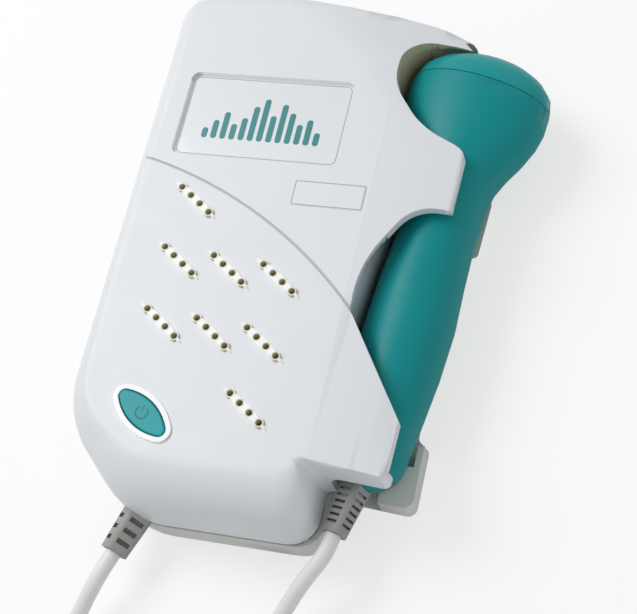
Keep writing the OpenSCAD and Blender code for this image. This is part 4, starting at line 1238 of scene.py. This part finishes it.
@dataclass
class StrainRelief:
    """A moulded rubber boot: a tapered square sleeve with a lip and rows of slots.

    Attributes:
        node: The solid that it stands for.
        tip: Its tip in millimetres from the unit's lower left corner.
        aim: Heading of its axis from the tip, in degrees.
        turn: Turn of the square sleeve about its axis, in degrees.
        length: Length of the sleeve in millimetres.
        reach: Length over which the slots run, in millimetres.
        tip_width: Width at the tip in millimetres.
        base_width: Width at the base in millimetres.
        rows: Slots on each side.
        neck: Place along the axis and length of the neck in the housing, in millimetres.
        neck_radius: Radius of the neck.
        corner_share: Radius of the sleeve's corners, as a share of its width.
        lip: Width of the rim round the tip.
        lip_depth: Depth of the tip's face inside the rim.
        slot_deep: Depth of a slot.
        slot_start: Place of the slots nearest the tip, as a share of the reach.
        slot_run: Distance from the first slots to the last, as a share of the reach.
        slot_wide: Width of a slot, as a share of the sleeve's.
        slot_high: Height of a slot, as a share of the distance between slots.
        cutter: Length of a block that cuts a slot.
        soft_edge: Width of the rounded edges.
        crisp: Least bend in degrees that is rounded.
        smooth: Sharpest bend in degrees that is shaded as a round.
    """

    node: str
    tip: Point
    aim: float
    turn: float
    length: float
    reach: float
    tip_width: float
    base_width: float
    rows: int
    neck: tuple[float, float]
    neck_radius: float = 2.75
    corner_share: float = 0.26
    lip: float = 0.35
    lip_depth: float = 0.12
    slot_deep: float = 0.85
    slot_start: float = 0.2
    slot_run: float = 0.66
    slot_wide: float = 0.54
    slot_high: float = 0.4
    cutter: float = 3.0
    soft_edge: float = 0.16
    crisp: float = 35.0
    smooth: float = 30.0

    def sleeve(self) -> Any:
        """Models the tapered sleeve, with its tip at the origin and its axis upright.

        Returns:
            The sleeve.
        """
        wide = self.base_width * MM
        sleeve = block(
            (wide, wide, self.length * MM),
            (0.0, 0.0, self.length * MM / 2),
            corner=self.corner_share * wide,
        )
        settle(sleeve, self.node + "_boot")
        bpy.ops.object.mode_set(mode="EDIT")
        pick_faces(sleeve, lambda f: f.normal.z < -FACING)
        share = self.tip_width / self.base_width
        bpy.ops.transform.resize(value=(share, share, 1.0), center_override=(0.0, 0.0, 0.0))
        bpy.ops.mesh.inset(thickness=self.lip * MM, depth=0.0)
        bpy.ops.mesh.extrude_region_move(
            TRANSFORM_OT_translate={"value": (0.0, 0.0, self.lip_depth * MM)}
        )
        bpy.ops.object.mode_set(mode="OBJECT")
        return sleeve

    def cutters(self) -> Any:
        """Models the blocks that cut the slots on the four sides.

        Returns:
            The blocks, joined.
        """
        pitch = self.slot_run * self.reach / (self.rows - 1)
        blocks = []
        for k in range(self.rows):
            z = self.slot_start * self.reach + k * pitch
            width = self.tip_width + (self.base_width - self.tip_width) * z / self.length
            middle = width / 2 - self.slot_deep + self.cutter / 2
            size = (self.cutter * MM, self.slot_wide * width * MM, self.slot_high * pitch * MM)
            for side in range(4):
                angle = math.radians(90 * side)
                blocks.append(block(
                    size,
                    (middle * math.cos(angle) * MM, middle * math.sin(angle) * MM, z * MM),
                    turn=90.0 * side,
                ))
        return joined(blocks, self.node + "_slots")

    def cut(self, sleeve: Any, cutter: Any) -> None:
        """Cuts one piece out of the sleeve and removes it.

        Args:
            sleeve: The sleeve.
            cutter: The piece that is cut out.
        """
        activate(sleeve)
        cutting = sleeve.modifiers.new("slots", "BOOLEAN")
        cutting.operation = "DIFFERENCE"
        cutting.solver = "EXACT"
        cutting.object = cutter
        cutting.material_mode = "TRANSFER"
        bpy.ops.object.modifier_apply(modifier=cutting.name)
        bpy.data.objects.remove(cutter, do_unlink=True)

    def trim(self, sleeve: Any) -> None:
        """Leaves the sleeve as it is.

        Args:
            sleeve: The sleeve, in its place; not used.
        """

    def attach(self, boot: Any) -> None:
        """Lets the boot ride on the unit.

        Args:
            boot: The finished boot.
        """
        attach(boot, Body.UNIT.value)

    def build(self) -> Any:
        """Models the boot and lets it stand for the solid.

        Returns:
            The boot.
        """
        sleeve = self.sleeve()
        dress(sleeve, Finishes.RUBBER)
        slots = self.cutters()
        # The slots' walls take a darker rubber as painted shade
        dress(slots, Finishes.SLOT_SHADE_RUBBER)
        self.cut(sleeve, slots)
        axis = Matrix.Rotation(math.radians(self.aim), 4, "Z") @ Matrix.Rotation(math.pi / 2, 4, "Y")
        place = Matrix.Translation(on_unit(*self.tip)) @ axis
        sleeve.matrix_world = place @ Matrix.Rotation(math.radians(self.turn), 4, "Z")
        settle(sleeve, self.node + "_boot")
        self.trim(sleeve)
        finish_edges(sleeve, self.soft_edge, self.crisp)
        deselect()
        start, long = self.neck
        bpy.ops.mesh.primitive_cylinder_add(
            vertices=32, radius=self.neck_radius * MM, depth=long * MM, location=(0.0, 0.0, 0.0)
        )
        neck = bpy.context.object
        neck.matrix_world = place @ Matrix.Translation((0.0, 0.0, (start + long / 2) * MM))
        dress(neck, Finishes.RUBBER)
        boot = joined([sleeve, neck], self.node + "_boot")
        bpy.ops.object.shade_smooth_by_angle(angle=math.radians(self.smooth))
        self.attach(boot)
        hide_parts(self.node)
        LOG.info("boot for %s", self.node)
        return boot


@dataclass
class UnitRelief(StrainRelief):
    """The boot at the cut corner of the unit, trimmed along the corner's wall.

    Attributes:
        corner_sum: Distances from the unit's left side and lower edge along that wall, added.
    """

    corner_sum: float = 26.3

    def trim(self, sleeve: Any) -> None:
        """Cuts the sleeve's base along the cut corner.

        Args:
            sleeve: The sleeve, in its place.
        """
        activate(sleeve)
        bpy.ops.object.mode_set(mode="EDIT")
        bpy.ops.mesh.select_all(action="SELECT")
        bpy.ops.mesh.bisect(
            plane_co=on_unit(self.corner_sum / 2, self.corner_sum / 2, self.tip[2]),
            plane_no=(1.0, 1.0, 0.0),
            use_fill=True,
            clear_outer=True,
        )
        bpy.ops.object.mode_set(mode="OBJECT")


@dataclass
class ProbeRelief(StrainRelief):
    """The boot at the probe's foot, hollowed to sit on the round of the foot.

    Attributes:
        foot: Middle of the foot's round, in millimetres.
        foot_radius: Radius of the hollow.
        seat: Where the boot meets the foot; not used.
    """

    foot: Point = (76.3018, 24.0018, 13.5)
    foot_radius: float = 9.42
    seat: Point = (74.2, 14.9, 13.5)

    def trim(self, sleeve: Any) -> None:
        """Cuts the round of the probe's foot out of the sleeve's base.

        Args:
            sleeve: The sleeve, in its place.
        """
        deselect()
        bpy.ops.mesh.primitive_uv_sphere_add(
            segments=48, ring_count=24, radius=self.foot_radius * MM, location=on_unit(*self.foot)
        )
        self.cut(sleeve, bpy.context.object)

    def attach(self, boot: Any) -> None:
        """Bakes the boot's place into its mesh and leaves it on no body.

        Args:
            boot: The finished boot.
        """
        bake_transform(boot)


@dataclass
class Grille:
    """Cream collars round the grille's holes, with shade painted in beige on the walls seen inside
    them.

    Attributes:
        columns: Places of the rib columns across the unit, in millimetres.
        rows: Rows that each column has.
        first_y: Height of the lowest row.
        pitch: Distance between rows.
        fall: How much each column stands lower than the one on its left.
        turn: Heading of the ribs, in degrees.
        hole_pitch: Distance between holes of a rib.
        hole_radius: Radius of a hole, a little less than the shell's.
        rib_holes: Holes in each rib.
        top: Height of the ribs' tops.
        depth: Depth of the collars' liners.
        rings: Width past the hole and height over the ribs' tops of each ring of a collar.
        smooth: Sharpest bend in degrees that is shaded as a round.
    """

    columns: tuple[float, ...] = (21.775, 35.041, 48.24)
    rows: tuple[tuple[int, ...], ...] = ((1, 2, 3), (1, 2), (0, 1, 2))
    first_y: float = 25.8
    pitch: float = 17.1
    fall: float = 1.0
    turn: float = -36.0
    hole_pitch: float = 3.6
    hole_radius: float = 0.82
    rib_holes: int = 4
    top: float = 29.3
    depth: float = 2.85
    rings: tuple[tuple[float, float], ...] = (
        (0.0, -0.1), (0.04, 0.03), (0.16, 0.1), (0.3, 0.05), (0.38, -0.1), (0.42, -0.5),
        (0.14, -0.6),
    )
    smooth: float = 50.0

    def collar(self) -> Any:
        """Models one collar with its liner, round the upright axis.

        Returns:
            The collar.
        """
        deselect()
        bottom = (self.top - self.depth) * MM
        bpy.ops.mesh.primitive_circle_add(
            vertices=20, radius=self.hole_radius * MM, location=(0.0, 0.0, bottom)
        )
        collar = settle(bpy.context.object, "grille_collar")
        bpy.ops.object.mode_set(mode="EDIT")
        bpy.ops.mesh.select_mode(type="VERT")
        bpy.ops.mesh.select_all(action="SELECT")
        radius = self.hole_radius
        height = -self.depth
        foot = ((self.rings[-1][0], -self.depth), (0.0, -self.depth))
        for past, z in self.rings + foot:
            bpy.ops.mesh.extrude_region_move(
                TRANSFORM_OT_translate={"value": (0.0, 0.0, (z - height) * MM)}
            )
            wide = self.hole_radius + past
            share = wide / radius
            bpy.ops.transform.resize(value=(share, share, 1.0), center_override=(0.0, 0.0, 0.0))
            radius = wide
            height = z
        bpy.ops.mesh.select_all(action="SELECT")
        bpy.ops.mesh.remove_doubles(threshold=MERGE / 2)
        bpy.ops.mesh.normals_make_consistent(inside=False)
        bpy.ops.object.mode_set(mode="OBJECT")
        bpy.ops.object.shade_smooth_by_angle(angle=math.radians(self.smooth))
        return collar

    def holes(self) -> list[Vector]:
        """Places the holes.

        Returns:
            Their middles, on the table under them.
        """
        way = Vector((math.cos(math.radians(self.turn)), math.sin(math.radians(self.turn)), 0.0))
        last = len(self.columns) - 1
        found = []
        for number, column in enumerate(self.columns):
            for row in self.rows[number]:
                y = self.first_y + row * self.pitch + (last - number) * self.fall
                for k in range(self.rib_holes):
                    along = (k - (self.rib_holes - 1) / 2) * self.hole_pitch
                    found.append(on_unit(column, y, 0.0) + way * along * MM)
        return found

    def build(self) -> None:
        """Sets a collar at each hole."""
        first = self.collar()
        copies = [copied(first, place) for place in self.holes()]
        bpy.data.objects.remove(first, do_unlink=True)
        collars = joined(copies, "grille_collars")
        dress(collars, Finishes.COLLAR)
        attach(collars, Body.UNIT.value)
        LOG.info("grille: %d collars", len(copies))


@dataclass
class PowerMark:
    """Standby mark printed on the power button: an open ring with a stroke in its gap.

    Attributes:
        centre: Middle of the button in millimetres.
        top: Height of the button's face.
        radius: Radius of the ring.
        line: Width of the print.
        turn: Heading of the stroke, in degrees from the unit's long axis.
        film: Thickness of the ink, with what is sunk in the button.
        steps: Short lines that make up the ring.
        opening: Angle of the ring's gap, in degrees.
        overlap: Length of a short line, as a share of its step along the ring.
        stroke: Distance of the stroke's middle from the centre, and its length.
        end_share: Radius of a line's corners, as a share of its width.
    """

    centre: tuple[float, float] = (23.383, 21.3)
    top: float = 29.2
    radius: float = 1.55
    line: float = 0.36
    turn: float = -8.0
    film: float = 0.05
    steps: int = 22
    opening: float = 70.0
    overlap: float = 1.35
    stroke: tuple[float, float] = (1.05, 1.9)
    end_share: float = 0.45

    def bar(self, away: float, angle: float, long: float, turn: float) -> Any:
        """Prints one short line with rounded ends.

        Args:
            away: Distance of its middle from the button's centre, in millimetres.
            angle: Direction in which its middle lies, in degrees.
            long: Its length.
            turn: Its heading in degrees.

        Returns:
            The object.
        """
        way = math.radians(angle)
        x = self.centre[0] + away * math.cos(way)
        y = self.centre[1] + away * math.sin(way)
        size = (self.line * MM, long * MM, self.film * MM)
        corner = self.end_share * self.line * MM
        return block(size, tuple(on_unit(x, y, self.top)), turn, corner)

    def build(self) -> None:
        """Prints the mark."""
        arc = 360.0 - self.opening
        long = self.overlap * self.radius * math.radians(arc) / self.steps
        parts = []
        for k in range(self.steps):
            angle = 90.0 + self.turn + self.opening / 2 + arc * (k + 0.5) / self.steps
            parts.append(self.bar(self.radius, angle, long, angle))
        parts.append(self.bar(self.stroke[0], 90.0 + self.turn, self.stroke[1], self.turn))
        mark = joined(parts, "power_mark")
        dress(mark, Finishes.MARK_INK)
        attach(mark, Body.BUTTON.value)
        LOG.info("power mark")


@dataclass
class WindowPrint:
    """Sound-level bars and a thin border, printed on the window's panel.

    Attributes:
        corner: Lower left corner of the window in millimetres.
        size: Width and height of the window.
        top: Height of the panel's face.
        bars: Heights of the bars in millimetres, from left to right.
        first: Place of the first bar from the window's left side.
        pitch: Distance between bars.
        wide: Width of a bar.
        base: Place of the bars' feet from the window's lower side.
        film: Thickness of the ink, with what is sunk in the panel.
        end_share: Radius of a bar's corners, as a share of its width.
        margin: Distance of the border from the window's sides.
        line: Width of the border.
        radius: Radius of the border's corners.
    """

    corner: tuple[float, float] = (11.122, 92.1979)
    size: tuple[float, float] = (44.5, 24.6)
    top: float = 27.5
    bars: tuple[float, ...] = (3.0, 5.4, 8.0, 4.6, 6.6, 10.2, 12.6, 7.8, 11.4, 9.0, 5.8, 7.4, 3.8)
    first: float = 7.25
    pitch: float = 2.5
    wide: float = 1.6
    base: float = 5.8
    film: float = 0.05
    end_share: float = 0.48
    margin: float = 0.75
    line: float = 0.22
    radius: float = 1.6

    def bar(self, x: float, high: float) -> Any:
        """Prints one bar with rounded ends.

        Args:
            x: Place of its middle from the window's left side, in millimetres.
            high: Its height.

        Returns:
            The object.
        """
        place = on_unit(self.corner[0] + x, self.corner[1] + self.base + high / 2, self.top)
        size = (self.wide * MM, high * MM, self.film * MM)
        return block(size, tuple(place), corner=self.end_share * self.wide * MM)

    def build(self) -> None:
        """Prints the bars, which stand on one level, and the border."""
        parts = []
        for number, high in enumerate(self.bars):
            parts.append(self.bar(self.first + number * self.pitch, high))
        bars = joined(parts, "window_print")
        dress(bars, Finishes.INK)
        border = printed_frame(
            self.corner, self.size, self.top, self.margin, self.line, self.radius, "window_border"
        )
        dress(border, Finishes.GREY_INK)
        for piece in (bars, border):
            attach(piece, Body.UNIT.value)
        LOG.info("window print: %d bars", len(self.bars))


def printed_frame(
    corner: tuple[float, float], size: tuple[float, float], top: float,
    margin: float, line: float, radius: float, name: str,
) -> Any:
    """Models a thin rounded frame by insetting a thin block and deleting its middle.

    Args:
        corner: Lower left corner of the place in millimetres.
        size: Width and height of the place.
        top: Height of the face under it.
        margin: Distance of the frame from the sides.
        line: Width of the frame.
        radius: Radius of its corners.
        name: Name of the piece.

    Returns:
        The object.
    """
    wide = size[0] - 2 * margin
    high = size[1] - 2 * margin
    middle = on_unit(corner[0] + size[0] / 2, corner[1] + size[1] / 2, top)
    frame = block((wide * MM, high * MM, OUTLINE_FILM), tuple(middle), corner=radius * MM)
    settle(frame, name)
    bpy.ops.object.mode_set(mode="EDIT")
    pick_faces(frame, lambda f: abs(f.normal.z) > FACING)
    bpy.ops.mesh.inset(thickness=line * MM, depth=0.0)
    bpy.ops.mesh.delete(type="ONLY_FACE")
    pick_edges(frame, lambda e: e.is_boundary)
    bpy.ops.mesh.bridge_edge_loops()
    bpy.ops.mesh.select_all(action="SELECT")
    bpy.ops.mesh.normals_make_consistent(inside=False)
    bpy.ops.object.mode_set(mode="OBJECT")
    return frame


@dataclass
class Badge:
    """Blank badge plate with a thin frame, where the real one is printed.

    Attributes:
        corner: Lower left corner in millimetres.
        size: Width and height.
        face: Height of the front face.
        thick: Thickness of the plate.
        lift: Height of the plate's middle over the face.
        rounding: Radius of the plate's corners.
        soft_edge: Width of the plate's rounded edges.
        crisp: Least bend in degrees that is rounded.
        frame_lift: Height of the frame over the face.
        margin: Distance of the frame from the plate's sides.
        line: Width of the frame.
        radius: Radius of the frame's corners.
    """

    corner: tuple[float, float] = (46.3, 80.4)
    size: tuple[float, float] = (18.5, 7.0)
    face: float = 28.6
    thick: float = 0.16
    lift: float = 0.03
    rounding: float = 0.4
    soft_edge: float = 0.04
    crisp: float = 40.0
    frame_lift: float = 0.12
    margin: float = 0.12
    line: float = 0.22
    radius: float = 0.35

    def build(self) -> None:
        """Models the plate and its frame."""
        wide, high = self.size
        middle = on_unit(
            self.corner[0] + wide / 2, self.corner[1] + high / 2, self.face + self.lift
        )
        size = (wide * MM, high * MM, self.thick * MM)
        plate = block(size, tuple(middle), corner=self.rounding * MM)
        settle(plate, "badge_plate")
        finish_edges(plate, self.soft_edge, self.crisp)
        dress(plate, Finishes.PANEL)
        frame = printed_frame(
            self.corner, self.size, self.face + self.frame_lift, self.margin, self.line,
            self.radius, "badge_frame",
        )
        dress(frame, Finishes.GREY_INK)
        for piece in (plate, frame):
            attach(piece, Body.UNIT.value)
        LOG.info("badge")


def dress_nodes() -> None:
    """Gives every solid that stays its finish."""
    for name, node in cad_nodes().items():
        dress(node, NODE_FINISHES[name])
        LOG.info("dressed %s", name)


MOULDINGS = (
    MouldedCopy("front_shell", Body.UNIT, Finishes.SHELL, "white_shell"),
    MouldedCopy("rear_shell", Body.UNIT, Finishes.REAR, "white_shell"),
    MouldedCopy("battery_door", Body.DOOR, Finishes.REAR, "white_shell"),
    MouldedCopy("probe_front_shell", Body.PROBE, Finishes.PROBE, "teal_shell", 40.0),
    MouldedCopy("probe_rear_shell", Body.PROBE, Finishes.PROBE, "teal_shell", 40.0),
    MouldedCopy("probe_face_cap", Body.PROBE, Finishes.CAP, "teal_cap", 40.0),
    MouldedCopy("power_button", Body.BUTTON, Finishes.BUTTON, "teal_button", 30.0, 0.45),
)


def main() -> None:
    """Builds the studio, the lead and every dressed piece."""
    logging.basicConfig(level=logging.INFO, format="%(message)s")
    FRAME.update(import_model())
    Studio().build()
    Lead().build()
    dress_nodes()
    for copy in MOULDINGS:
        copy.build()
    UnitRelief(
        node="unit_strain_relief", tip=(17.6096, -8.1491, 9.5), aim=70.6284, turn=40.0,
        length=17.42, reach=13.4, tip_width=6.2, base_width=7.6, rows=4, neck=(9.4, 7.1),
    ).build()
    ProbeRelief(
        node="probe_strain_relief", tip=(71.6096, 3.3509, 13.5), aim=77.1988, turn=-23.0,
        length=13.89, reach=12.47, tip_width=5.2, base_width=6.6, rows=6, neck=(8.9, 6.4),
    ).build()
    Grille().build()
    PowerMark().build()
    WindowPrint().build()
    Badge().build()


if __name__ == "__main__":
    main()
